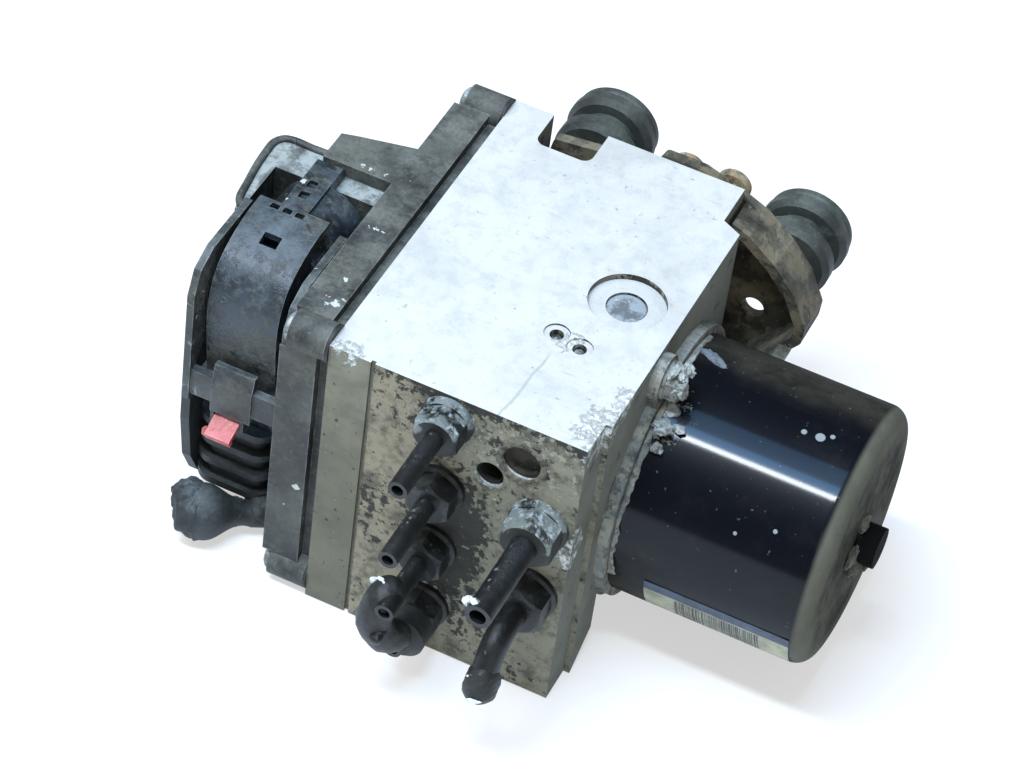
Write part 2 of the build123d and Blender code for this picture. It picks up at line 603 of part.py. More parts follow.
def rotor_parts():
    """What turns: shaft with its eccentric, ring, laminated core, windings and commutator."""
    tip = BLOCK_X - MOTOR_BORE_DEPTH - 5.5
    tail = BLOCK_X + FLANGE_T + CAN_LENGTH
    shaft = rod((tip, MOTOR_Y, MOTOR_Z), (1, 0, 0), SHAFT_R, tail - 6 - tip)
    shaft += rod((tail - 6, MOTOR_Y, MOTOR_Z), (1, 0, 0), SHAFT_TAIL_R, HUB_LENGTH + 3.5)
    place = (PUMP_X - ECCENTRIC_WIDTH / 2, MOTOR_Y + ECCENTRICITY, MOTOR_Z)
    shaft += rod(place, (1, 0, 0), ECCENTRIC_R, ECCENTRIC_WIDTH)
    ring = pipe(place, (1, 0, 0), ECCENTRIC_RING_R, ECCENTRIC_R + FIT, ECCENTRIC_WIDTH)
    core_r = CAN_R - CAN_WALL - MAGNET_T - AIR_GAP
    start = BLOCK_X + FLANGE_T + CORE_START
    core = pipe((start, MOTOR_Y, MOTOR_Z), (1, 0, 0), core_r, SHAFT_R + FIT, CORE_LENGTH)
    for index in range(CORE_TEETH):
        slot = Pos(core_r - 2 - SLOT_DEPTH / 2, 0) * Rectangle(SLOT_DEPTH, SLOT_WIDTH)
        slot += Pos(core_r - 1, 0) * Rectangle(4, 2)
        placed = Pos(MOTOR_Y, MOTOR_Z) * Rot(0, 0, index * 360 / CORE_TEETH) * slot
        core -= along_x(placed, start - 1, start + CORE_LENGTH + 1)
    low, high = core_r - 2 - SLOT_DEPTH, core_r - 2.5
    near = pipe((start - WINDING_OVERHANG, MOTOR_Y, MOTOR_Z), (1, 0, 0), high, low, WINDING_OVERHANG)
    far = pipe((start + CORE_LENGTH, MOTOR_Y, MOTOR_Z), (1, 0, 0), high, low, WINDING_OVERHANG)
    place = BLOCK_X + FLANGE_T + 3.2
    commutator = pipe((place, MOTOR_Y, MOTOR_Z), (1, 0, 0), COMMUTATOR_R, SHAFT_R + FIT, COMMUTATOR_LENGTH)
    return {
        "motor_shaft": shaft,
        "eccentric_ring": ring,
        "armature_core": core,
        "armature_windings": Compound(children=[near, far]),
        "commutator": commutator,
    }


def motor_internals():
    """Bearings, brush holder and brushes, which stay still."""
    bearing = pipe((BLOCK_X - SPIGOT_DEPTH, MOTOR_Y, MOTOR_Z), (1, 0, 0), BEARING_R - FIT, SHAFT_R + RUNNING,
                   BEARING_WIDTH)
    tail = BLOCK_X + FLANGE_T + CAN_LENGTH
    bush = pipe((tail - CAN_WALL, MOTOR_Y, MOTOR_Z), (1, 0, 0), SHAFT_TAIL_R + 1.5 - FIT,
                SHAFT_TAIL_R + RUNNING, 5.5)
    place = BLOCK_X + FLANGE_T
    holder = pipe((place, MOTOR_Y, MOTOR_Z), (1, 0, 0), CAN_R - CAN_WALL - 3, BEARING_R + 1, 2.4)
    brush_x = place + 2.4
    gap = COMMUTATOR_R + 0.2
    brushes = []
    for side in (-1, 1):
        low = MOTOR_Z + (gap if side > 0 else -gap - 9)
        brushes.append(block((brush_x, MOTOR_Y - BRUSH_WIDTH / 2, low),
                             (brush_x + BRUSH_WIDTH, MOTOR_Y + BRUSH_WIDTH / 2, low + 9)))
    return {
        "front_bearing": bearing,
        "rear_bush": bush,
        "brush_holder": holder,
        "brushes": Compound(children=brushes),
    }


def motor_bolts():
    """The bolts through the flange's ears."""
    bolts = []
    for angle in FLANGE_BOLT_ANGLES:
        start = motor_point(FLANGE_T, angle, FLANGE_BOLT_R)
        bolt = rod(start, (-1, 0, 0), MOTOR_BOLT_R - FIT, MOTOR_BOLT_LENGTH)
        bolt += rod(start, (1, 0, 0), 5.6, 0.8)
        bolt += hexagon_bar(start, (1, 0, 0), 9.0, 4.6)
        bolts.append(bolt)
    return Compound(children=bolts)


# ---------------------------------------------------------------- valves, coils and control unit
def screw_places():
    """Y and Z of the control unit's four screws."""
    ys = (SCREW_INSET_Y, BLOCK_Y - SCREW_INSET_Y)
    return [(y, z) for y in ys for z in (SCREW_LOW_Z, SCREW_TOP_Z)]


def valve_parts():
    """Three rows of solenoid valve cartridges, and the coils that slip over their domes."""
    parts = {}
    coils = []
    for name, z in VALVE_ROWS.items():
        row = []
        for y in VALVE_YS:
            outline = [(0, 0), (VALVE_R - FIT, 0), (VALVE_R - FIT, VALVE_DEPTH), (DOME_R, VALVE_DEPTH),
                       (DOME_R, VALVE_DEPTH + DOME_LENGTH - 1.5),
                       (DOME_R - 1.5, VALVE_DEPTH + DOME_LENGTH), (0, VALVE_DEPTH + DOME_LENGTH)]
            row.append(turned(outline, (VALVE_DEPTH, y, z), (-1, 0, 0)))
            coils.append(pipe((-COIL_STAND_OFF, y, z), (-1, 0, 0), COIL_R, DOME_R + 0.15, COIL_LENGTH))
        parts[name] = Compound(children=row)
    parts["solenoid_coils"] = Compound(children=coils)
    return parts


def tray_face(inset):
    """The tray's outline in Y and Z, set in by inset."""
    near, far = TRAY_INSET_Y + inset, BLOCK_Y - TRAY_INSET_Y - inset
    low, high = TRAY_LOW + inset, TRAY_TOP - inset
    return polygon([(near, low), (far, low), (far, high), (near, high)], 2.0)


def tower():
    """The deep rear part of the housing, with the pocket that takes the plug and the raised shelf."""
    left = TOWER_LEFT_BACK
    outline = [(-TRAY_X, TOWER_FRONT_Y), (TOWER_LEFT_FRONT, TOWER_FRONT_Y), (left, TOWER_BACK_Y - 9),
               (left + 1.2, TOWER_BACK_Y - 4), (left + 6, TOWER_BACK_Y - 1), (left + 15, TOWER_BACK_Y),
               (left + 24, TOWER_BACK_Y - 3.5), (-TRAY_X, TOWER_BACK_Y - 3.5)]
    body = along_z(polygon(outline), TOWER_LOW, TOWER_TOP)
    shelf = polygon([(-TRAY_X, SHELF_FRONT_Y), (SHELF_LEFT, SHELF_FRONT_Y), (SHELF_LEFT, SHELF_BACK_Y - 1.5),
                     (SHELF_LEFT + 5, SHELF_BACK_Y), (-TRAY_X, SHELF_BACK_Y + 4)])
    body += along_z(shelf, TOWER_LOW + 20, SHELF_TOP)
    body -= block((POCKET_LEFT, TOWER_FRONT_Y - 1, TOWER_LOW - 1), (-TRAY_X, POCKET_BACK_Y, TOWER_TOP + 1))
    inner = block((TOWER_LEFT_BACK + 5, POCKET_BACK_Y + 2, TOWER_LOW + 3),
                  (-TRAY_X - 2.4, TOWER_BACK_Y - 2.4, TOWER_TOP - 3))
    return body - inner


def ecu_parts():
    """The control unit: housing, gasket, board, header pins and screws."""
    housing = along_x(tray_face(0), -TRAY_X, -TRAY_RIM_X)
    housing += along_x(tray_face(NECK_INSET), -TRAY_RIM_X, -GASKET_T)
    cavity = tray_face(NECK_INSET + TRAY_WALL)
    housing -= along_x(cavity, -TRAY_X + TRAY_LID, 1)
    housing += tower()
    for y, z in screw_places():
        housing -= rod((-TRAY_X - 1, y, z), (1, 0, 0), BOSS_R + SLIDING, BOSS_SET_BACK + 1)
        housing += rod((-TRAY_X + BOSS_SET_BACK, y, z), (1, 0, 0), BOSS_R, TRAY_X - BOSS_SET_BACK - GASKET_T)
    shroud = stadium(HEADER_CENTRE_X, HEADER_WIDTH, HEADER_LOW, HEADER_HIGH)
    hollow = stadium(HEADER_CENTRE_X, HEADER_WIDTH - 2 * HEADER_WALL, HEADER_LOW + HEADER_WALL,
                     HEADER_HIGH - HEADER_WALL)
    housing += along_y(shroud - hollow, POCKET_BACK_Y - HEADER_LENGTH, POCKET_BACK_Y)
    for y, z in screw_places():
        housing -= rod((-TRAY_X - 1, y, z), (1, 0, 0), SCREW_R + 0.3, TRAY_X + 2)
    gasket = along_x(tray_face(NECK_INSET) - cavity, -GASKET_T, 0)
    for y, z in screw_places():
        gasket += rod((-GASKET_T, y, z), (1, 0, 0), BOSS_R, GASKET_T)
    for y, z in screw_places():
        gasket -= rod((-TRAY_X, y, z), (1, 0, 0), SCREW_R + 0.3, 2 * TRAY_X)
    board_x = -TRAY_X + TRAY_LID
    board = along_x(tray_face(NECK_INSET + TRAY_WALL + SLIDING), board_x, board_x + BOARD_T)
    for y, z in screw_places():
        board -= rod((board_x - 1, y, z), (1, 0, 0), BOSS_R + SLIDING, BOARD_T + 2)
    return {
        "ecu_housing": housing,
        "ecu_gasket": gasket,
        "circuit_board": board,
        "header_pins": header_pins(),
        "ecu_screws": ecu_screws(),
    }


def header_pins():
    """Contact pins that stand out of the pocket's back wall inside the shroud."""
    pins = []
    pitch = (HEADER_HIGH - HEADER_LOW - HEADER_WIDTH) / (PIN_COLUMNS - 1)
    for row in range(PIN_ROWS):
        x = HEADER_CENTRE_X + (row - (PIN_ROWS - 1) / 2) * 5.0
        for column in range(PIN_COLUMNS):
            z = HEADER_LOW + HEADER_WIDTH / 2 + column * pitch
            pins.append(block((x - PIN / 2, POCKET_BACK_Y - HEADER_LENGTH + 2, z - PIN / 2),
                              (x + PIN / 2, POCKET_BACK_Y, z + PIN / 2)))
    return Compound(children=pins)


def ecu_screws():
    """Pan head screws with a six-lobe socket, drawn as a plain round recess."""
    screws = []
    head_x = -TRAY_X + BOSS_SET_BACK
    for y, z in screw_places():
        screw = rod((head_x, y, z), (1, 0, 0), SCREW_R - FIT, -head_x + SCREW_GRIP - 1)
        head = turned([(0, 0), (SCREW_HEAD_R, 0), (SCREW_HEAD_R, SCREW_HEAD_T - 0.8),
                       (SCREW_HEAD_R - 1, SCREW_HEAD_T), (1.7, SCREW_HEAD_T), (1.5, 0.8), (0, 0.8)],
                      (head_x, y, z), (-1, 0, 0))
        screws.append(screw + head)
    return Compound(children=screws)


# ---------------------------------------------------------------- harness plug
def hood_front(inset):
    """The hood's nose in Y and Z: nearly flat on top, well rounded, then leaning back to the foot."""
    top = HOOD_TOP
    return [
        (HOOD_BACK_Y, top - inset), (31.0, top - 0.6 - inset), (24.0, top - 2.6 - inset),
        (17.6 + inset * 0.6, top - 6.4 - inset * 0.8), (13.8 + inset, top - 12.8), (12.5 + inset, top - 20.8),
        (13.4 + inset, top - 32.8), (14.8 + inset, top - 44.8), (17.0 + inset, top - 56.8),
        (18.6 + inset, BODY_LOW - HOOD_DROP),
    ]


def hood_section(inset, back_y, low, shelf_z):
    """The closed side outline of the hood, or of the wire space inside it."""
    front = hood_front(inset)
    front[-1] = (front[-1][0], low)
    edges = [Spline(front)]
    edges += Polyline(front[-1], (back_y, low), (back_y, shelf_z), (HOOD_BACK_Y, shelf_z), front[0]).edges()
    return make_face(Wire(edges))


def plug_hood():
    """The hollow hood that leads the wires down to the boot."""
    shelf = BODY_HIGH + SLIDING
    hood = along_x(hood_section(0, BODY_FRONT_Y, BODY_LOW - HOOD_DROP, shelf), HOOD_LEFT, HOOD_RIGHT)
    space = hood_section(HOOD_WALL, BODY_FRONT_Y + 1, BODY_LOW, shelf)
    hood -= along_x(space, HOOD_LEFT + HOOD_WALL, HOOD_RIGHT - HOOD_WALL) & block(
        (HOOD_LEFT, 0, 0), (HOOD_RIGHT, BODY_FRONT_Y + 1, shelf - 0.1))
    window_x, window_y = HOOD_WINDOW
    hood -= block((window_x, window_y, HOOD_TOP - 8), (window_x + 5.2, window_y + 4.0, HOOD_TOP + 1))
    for x in HOOD_SLOT_XS:
        hood -= block((x, HOOD_BACK_Y - 3.0, shelf - 1), (x + 2.6, HOOD_BACK_Y - 1.0, HOOD_TOP + 1))
    return hood


def plug_body():
    """The plug's body, which slides over the header's shroud, with its latch and pivot studs."""
    centre = HEADER_CENTRE_X
    body = along_y(stadium(centre, BODY_WIDTH, BODY_LOW, BODY_HIGH), BODY_FRONT_Y, BODY_BACK_Y)
    crown = [e for e in body.edges() if abs(e.center().Y - BODY_BACK_Y) < 0.1]
    body = chamfer(crown, 2.0)
    mouth = POCKET_BACK_Y - HEADER_LENGTH - SLIDING
    socket = stadium(centre, HEADER_WIDTH + 2 * SLIDING, HEADER_LOW - SLIDING, HEADER_HIGH + SLIDING)
    body -= along_y(socket, mouth, BODY_BACK_Y + 1)
    latch = block((LATCH_LEFT, HOOD_BACK_Y + SLIDING, LATCH_TOP - LATCH_T), (LATCH_RIGHT, LATCH_TIP_Y, LATCH_TOP))
    latch = chamfer(latch.edges().group_by(Axis.Y)[-1].sort_by(Axis.Z)[-1], 1.5)
    latch -= block((LATCH_LEFT + 2.2, 47, LATCH_TOP - LATCH_T - 1), (LATCH_LEFT + 5.0, 50, LATCH_TOP + 1))
    latch -= block((LATCH_LEFT + 2.2, 52, LATCH_TOP - 1.5), (LATCH_LEFT + 5.0, 55, LATCH_TOP + 1))
    body += latch
    half = BODY_WIDTH / 2
    for side in (-1, 1):
        start = (centre + side * (half - 1), LEVER_PIVOT_Y, LEVER_PIVOT_Z)
        body += rod(start, (side, 0, 0), LEVER_PIVOT_R - RUNNING, 1 + LEVER_SIDE_GAP + LEVER_T - SLIDING)
    return body


def lever_arm():
    """One side arm of the lever in Y and Z: from the pivot over the top and down to the bridge."""
    top, pivot = LEVER_TOP, LEVER_PIVOT_Z
    outline = [
        (40.0, top), (18.0, top), (11.0, top - 3.2), (LEVER_FRONT_Y, top - 10.8),
        (LEVER_FRONT_Y, LEVER_BRIDGE_LOW), (LEVER_FRONT_Y + LEVER_BRIDGE_T, LEVER_BRIDGE_LOW),
        (LEVER_FRONT_Y + LEVER_BRIDGE_T, LEVER_BRIDGE_HIGH), (16.0, LEVER_BRIDGE_HIGH + 6), (16.0, top - 14.8),
        (20.5, top - 10.4), (33.0, pivot + 5), (38.0, pivot - 4), (48.0, pivot - 6), (50.5, pivot + 4),
    ]
    arm = polygon(outline, 1.0) + Pos(LEVER_PIVOT_Y, LEVER_PIVOT_Z) * Circle(LEVER_BOSS_R)
    return arm - Pos(LEVER_PIVOT_Y, LEVER_PIVOT_Z) * Circle(LEVER_PIVOT_R)


def plug_lever():
    """The U-shaped lever: two arms, the bridge across the hood, the finger tongue and the lock's rails."""
    half = BODY_WIDTH / 2 + LEVER_SIDE_GAP
    left, right = HEADER_CENTRE_X - half - LEVER_T, HEADER_CENTRE_X + half + LEVER_T
    arm = lever_arm()
    lever = along_x(arm, left, left + LEVER_T) + along_x(arm, right - LEVER_T, right)
    back = LEVER_FRONT_Y + LEVER_BRIDGE_T
    lever += block((left, LEVER_FRONT_Y + 0.8, LEVER_BRIDGE_LOW + 2.4), (right, back, LEVER_BRIDGE_HIGH - 1))
    tongue = along_x(polygon([(LEVER_FRONT_Y, LEVER_BRIDGE_LOW), (back, LEVER_BRIDGE_LOW), (back, TONGUE_TOP),
                              (LEVER_FRONT_Y + 1.6, TONGUE_TOP), (LEVER_FRONT_Y, TONGUE_TOP - 6)]),
                     TONGUE_LEFT, TONGUE_RIGHT)
    lever += tongue
    low = LEVER_BRIDGE_LOW - 4.6
    for x in (LOCK_LEFT - SLIDING - 1.0, LOCK_LEFT + LOCK_WIDTH + SLIDING):
        lever += block((x, LEVER_FRONT_Y + 0.4, low), (x + 1.0, back + 1.6, LEVER_BRIDGE_LOW + 1))
    return lever


def lever_lock():
    """The sliding lock under the tongue: a tilted plate with a finger lip."""
    tilt = math.radians(LOCK_TILT)
    plate = [(0, 0), (-LOCK_LENGTH, 0), (-LOCK_LENGTH, -LOCK_LIP), (-LOCK_LENGTH + 1.3, -LOCK_LIP),
             (-LOCK_LENGTH + 1.3, -LOCK_T), (0, -LOCK_T)]
    top = LEVER_BRIDGE_LOW - SLIDING
    inner = LEVER_FRONT_Y + LEVER_BRIDGE_T
    rise = (LOCK_INNER_Y - inner) * math.tan(tilt)
    face = Pos(LOCK_INNER_Y, top + rise) * Rot(0, 0, LOCK_TILT) * polygon(plate)
    return along_x(face, LOCK_LEFT, LOCK_LEFT + LOCK_WIDTH)


def cable_boot():
    """The ribbed boot below the hood, where the wires leave."""
    top = BODY_LOW - HOOD_DROP
    inset = BOOT_CORE_INSET
    core = polygon([(BOOT_LEFT + inset, BOOT_FRONT_Y + inset), (BOOT_RIGHT - inset, BOOT_FRONT_Y + inset),
                    (BOOT_RIGHT - inset, BOOT_BACK_Y - inset), (BOOT_LEFT + inset, BOOT_BACK_Y - inset)], 4.0)
    rib = polygon([(BOOT_LEFT, BOOT_FRONT_Y), (BOOT_RIGHT, BOOT_FRONT_Y), (BOOT_RIGHT, BOOT_BACK_Y),
                   (BOOT_LEFT, BOOT_BACK_Y)], 6.0)
    boot = along_z(core, BOOT_LOW, top)
    pitch = (top - BOOT_LOW - BOOT_RIB) / (BOOT_RIBS - 1)
    for index in range(BOOT_RIBS):
        low = BOOT_LOW + index * pitch
        boot += along_z(rib, low, low + BOOT_RIB)
    guard = polygon([(11.5, top + 10.5), (11.5, top), (14.0, BOOT_LOW + 8.5), (19.5, BOOT_LOW - 2.5),
                     (28.0, BOOT_LOW - 2.5), (28.0, top + 10.5)], 2.0)
    return boot + along_x(guard, BOOT_LEFT - GUARD_T, BOOT_LEFT + 0.2)


def harness_stub():
    """The cut and taped end of the wiring harness below the boot."""
    start, end = Vector(STUB_START), Vector(STUB_END)
    length = (end - start).length
    profile = [(0, 0), (STUB_NECK_R, 0), (STUB_NECK_R, 0.3 * length)]
    edges = [Line((r, 0, h), (s, 0, k)) for (r, h), (s, k) in zip(profile, profile[1:])]
    swell = [(STUB_NECK_R, 0, 0.3 * length), (STUB_R * 0.62, 0, 0.58 * length), (STUB_R, 0, 0.84 * length),
             (STUB_R * 0.76, 0, 1.1 * length), (0, 0, 1.23 * length)]
    edges += [Spline(swell), Line(swell[-1], (0, 0, 0))]
    face = make_face(Wire(edges))
    stub = Plane(origin=start, z_dir=end - start) * revolve(face, Axis.Z)
    return stub + rod((*STUB_ROOT, start.Z), (0, 0, 1), STUB_NECK_R, BOOT_LOW - start.Z)


def plug_parts():
    """Every piece of the harness plug."""
    return {
        "plug_body": plug_body(),
        "plug_hood": plug_hood(),
        "plug_lever": plug_lever(),
        "lever_lock": lever_lock(),
        "cable_boot": cable_boot(),
        "harness_stub": harness_stub(),
    }


# ---------------------------------------------------------------- bracket and rubber mounts
def bracket_outline():
    """The pressed plate behind the block, seen along Y."""
    drops = [
        (6, 58.6), (6, 32), (11, 19), (13, 8.6), (33, 6), (42, 7.6), (46, -0.9), (58, -0.9), (70, 3.1),
        (78, 6.6), (87, 13.6), (94, 21.6), (98.9, 31.6), (98.6, 37.6), (95, 42.6), (80, 60.1), (66, 72.6),
        (40, 72.6),
    ]
    return polygon([(x, BLOCK_Z - drop) for x, drop in drops], 1.5)


def mounting_bracket():
    """The steel bracket: plate, forward turned rim along its arm, deeper at the foot, and its holes."""
    face = bracket_outline()
    back = BLOCK_Y + BRACKET_T
    plate = along_y(face, BLOCK_Y, back)
    edge = face - offset(face, -BRACKET_T)
    side = BLOCK_X - BACK_STEP_X + 1.2
    beyond = BLOCK_X + FLANGE_T + 1.0
    split, far = BRACKET_RIM_SPLIT, BLOCK_X + 50
    upper = block((side, 0, split - 3), (far, BLOCK_Y, BLOCK_Z + 20))
    plate += along_y(edge, BLOCK_Y - RIM_DEPTH, BLOCK_Y) & upper
    plate += along_y(edge, BLOCK_Y - LOW_RIM_DEPTH, BLOCK_Y) & block((beyond, 0, 0), (far, BLOCK_Y, split + 3))
    for x, z, radius in BRACKET_HOLES:
        plate -= rod((x, BLOCK_Y - 1, z), (0, 1, 0), radius, BRACKET_T + 2)
    for x, z in BRACKET_BOLTS:
        plate -= rod((x, BLOCK_Y - 1, z), (0, 1, 0), BRACKET_BOLT_R + 0.2, BRACKET_T + 2)
    return plate


def rubber_mount(x, z):
    """A grooved rubber bush: a near flange, a neck and a larger far flange."""
    edge = RUBBER_EDGE
    outline = [
        (SLEEVE_R + FIT, 0), (RUBBER_NEAR_R - edge, 0), (RUBBER_NEAR_R, edge), (RUBBER_NEAR_R, 5.2),
        (RUBBER_NEAR_R - edge, 6.6), (RUBBER_NECK_R, 7.0), (RUBBER_NECK_R, 10.6),
        (RUBBER_R - edge, 11.0), (RUBBER_R, 12.6), (RUBBER_R, 15.0), (RUBBER_R - 1.2, 15.8),
        (RUBBER_R - 0.6, 16.8), (RUBBER_R - 0.6, 18.4), (RUBBER_R - 3.0, RUBBER_LENGTH),
        (SLEEVE_R + FIT, RUBBER_LENGTH),
    ]
    return turned(outline, (x, BLOCK_Y + BRACKET_T, z), (0, 1, 0))


def mount_parts():
    """Bracket, rubber mounts, their steel sleeves and the bracket's bolts."""
    parts = {"mounting_bracket": mounting_bracket()}
    sleeves = []
    back = BLOCK_Y + BRACKET_T
    for name, (x, z) in RUBBER_MOUNTS.items():
        parts[f"rubber_mount_{name}"] = rubber_mount(x, z)
        sleeves.append(pipe((x, back, z), (0, 1, 0), SLEEVE_R, SLEEVE_BORE, RUBBER_LENGTH + SLEEVE_PROUD))
    parts["mount_sleeves"] = Compound(children=sleeves)
    bolts = []
    for x, z in BRACKET_BOLTS:
        bolt = rod((x, back, z), (0, -1, 0), BRACKET_BOLT_R - FIT, BRACKET_T + 11)
        bolt += turned([(0, 0), (BOLT_HEAD_R, 0), (BOLT_HEAD_R, BOLT_HEAD_T - 1.4),
                        (BOLT_HEAD_R - 1.6, BOLT_HEAD_T), (0, BOLT_HEAD_T)], (x, back, z), (0, 1, 0))
        bolts.append(bolt)
    parts["bracket_bolts"] = Compound(children=bolts)
    return parts


def save(name, shape):
    """Writes one node, with the origin moved to the middle of the block's foot."""
    export_step(Pos(-BLOCK_X / 2, -BLOCK_Y / 2, 0) * shape, f"parts/{name}.step")


def main():
    """Builds and writes every node."""
    os.makedirs("parts", exist_ok=True)
    parts = {"hydraulic_block": hydraulic_block()}
    parts.update(block_plugs())
    parts.update(pump_parts())
    parts.update(accumulator_parts())
    parts.update(line_fittings())
    parts.update(motor_casing())
    parts["motor_magnets"] = motor_magnets()
    parts.update(rotor_parts())
    parts.update(motor_internals())
    parts["motor_bolts"] = motor_bolts()
    parts.update(valve_parts())
    parts.update(ecu_parts())
    parts.update(plug_parts())
    parts.update(mount_parts())
    for name, shape in parts.items():
        save(name, shape)


main()
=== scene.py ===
"""Dresses a weathered anti-lock brake module: finishes, corrosion, a worn label and small hardware."""

from __future__ import annotations

import logging
import math
from dataclasses import dataclass
from enum import Enum
from typing import Iterable, Sequence, Union

import bmesh
import bpy
import numpy as np
from mathutils import Matrix, Vector


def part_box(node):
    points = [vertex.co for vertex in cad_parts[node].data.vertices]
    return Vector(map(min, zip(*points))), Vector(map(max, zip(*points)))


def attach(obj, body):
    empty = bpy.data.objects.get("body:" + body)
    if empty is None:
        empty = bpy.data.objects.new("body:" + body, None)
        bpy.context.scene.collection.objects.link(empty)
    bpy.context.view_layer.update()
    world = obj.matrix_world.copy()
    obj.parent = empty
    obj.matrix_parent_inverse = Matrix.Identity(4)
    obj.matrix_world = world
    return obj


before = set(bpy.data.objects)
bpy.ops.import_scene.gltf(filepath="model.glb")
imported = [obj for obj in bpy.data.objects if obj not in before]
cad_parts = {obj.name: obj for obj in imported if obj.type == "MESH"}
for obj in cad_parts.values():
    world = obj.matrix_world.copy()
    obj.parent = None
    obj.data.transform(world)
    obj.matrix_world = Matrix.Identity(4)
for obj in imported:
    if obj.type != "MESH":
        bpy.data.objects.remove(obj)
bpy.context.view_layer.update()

LOG = logging.getLogger("brake_module")
MM = 0.001
Colour = tuple[float, float, float]
Point = tuple[float, float, float]
Outline = tuple[tuple[float, float], ...]
Spots = tuple[tuple[Point, float], ...]
Lumps = tuple[tuple[Point, Point, float], ...]
Socket = bpy.types.NodeSocket
Value = Union[Socket, float, Sequence[float]]

# Datum of the build: the block's front left corner at its foot, in the frame's metres.
BLOCK_LOW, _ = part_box("hydraulic_block")
LEFT, FRONT = BLOCK_LOW.x, BLOCK_LOW.y

# The motor can, whose axis runs along X: its box, its radius, and its axis in Y and Z.
CAN_LOW, CAN_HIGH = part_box("motor_can")
CAN_RADIUS = (CAN_HIGH.y - CAN_LOW.y) / 2
CAN_CENTRE = ((CAN_HIGH.y + CAN_LOW.y) / 2, (CAN_HIGH.z + CAN_LOW.z) / 2)


def srgb(red: int, green: int, blue: int) -> Colour:
    """Turns a colour of 0 to 255 a channel into linear light.

    Args:
        red: red, 0 to 255.
        green: green, 0 to 255.
        blue: blue, 0 to 255.

    Returns:
        The colour in linear light, 0 to 1 a channel.
    """
    values = np.array([red, green, blue]) / 255.0
    linear = np.where(values <= 0.04045, values / 12.92, ((values + 0.055) / 1.055) ** 2.4)
    return tuple(float(v) for v in linear)


def at(x: float, y: float, z: float) -> Point:
    """Turns millimetres from the block's front left foot into the frame's metres."""
    return (LEFT + x * MM, FRONT + y * MM, z * MM)


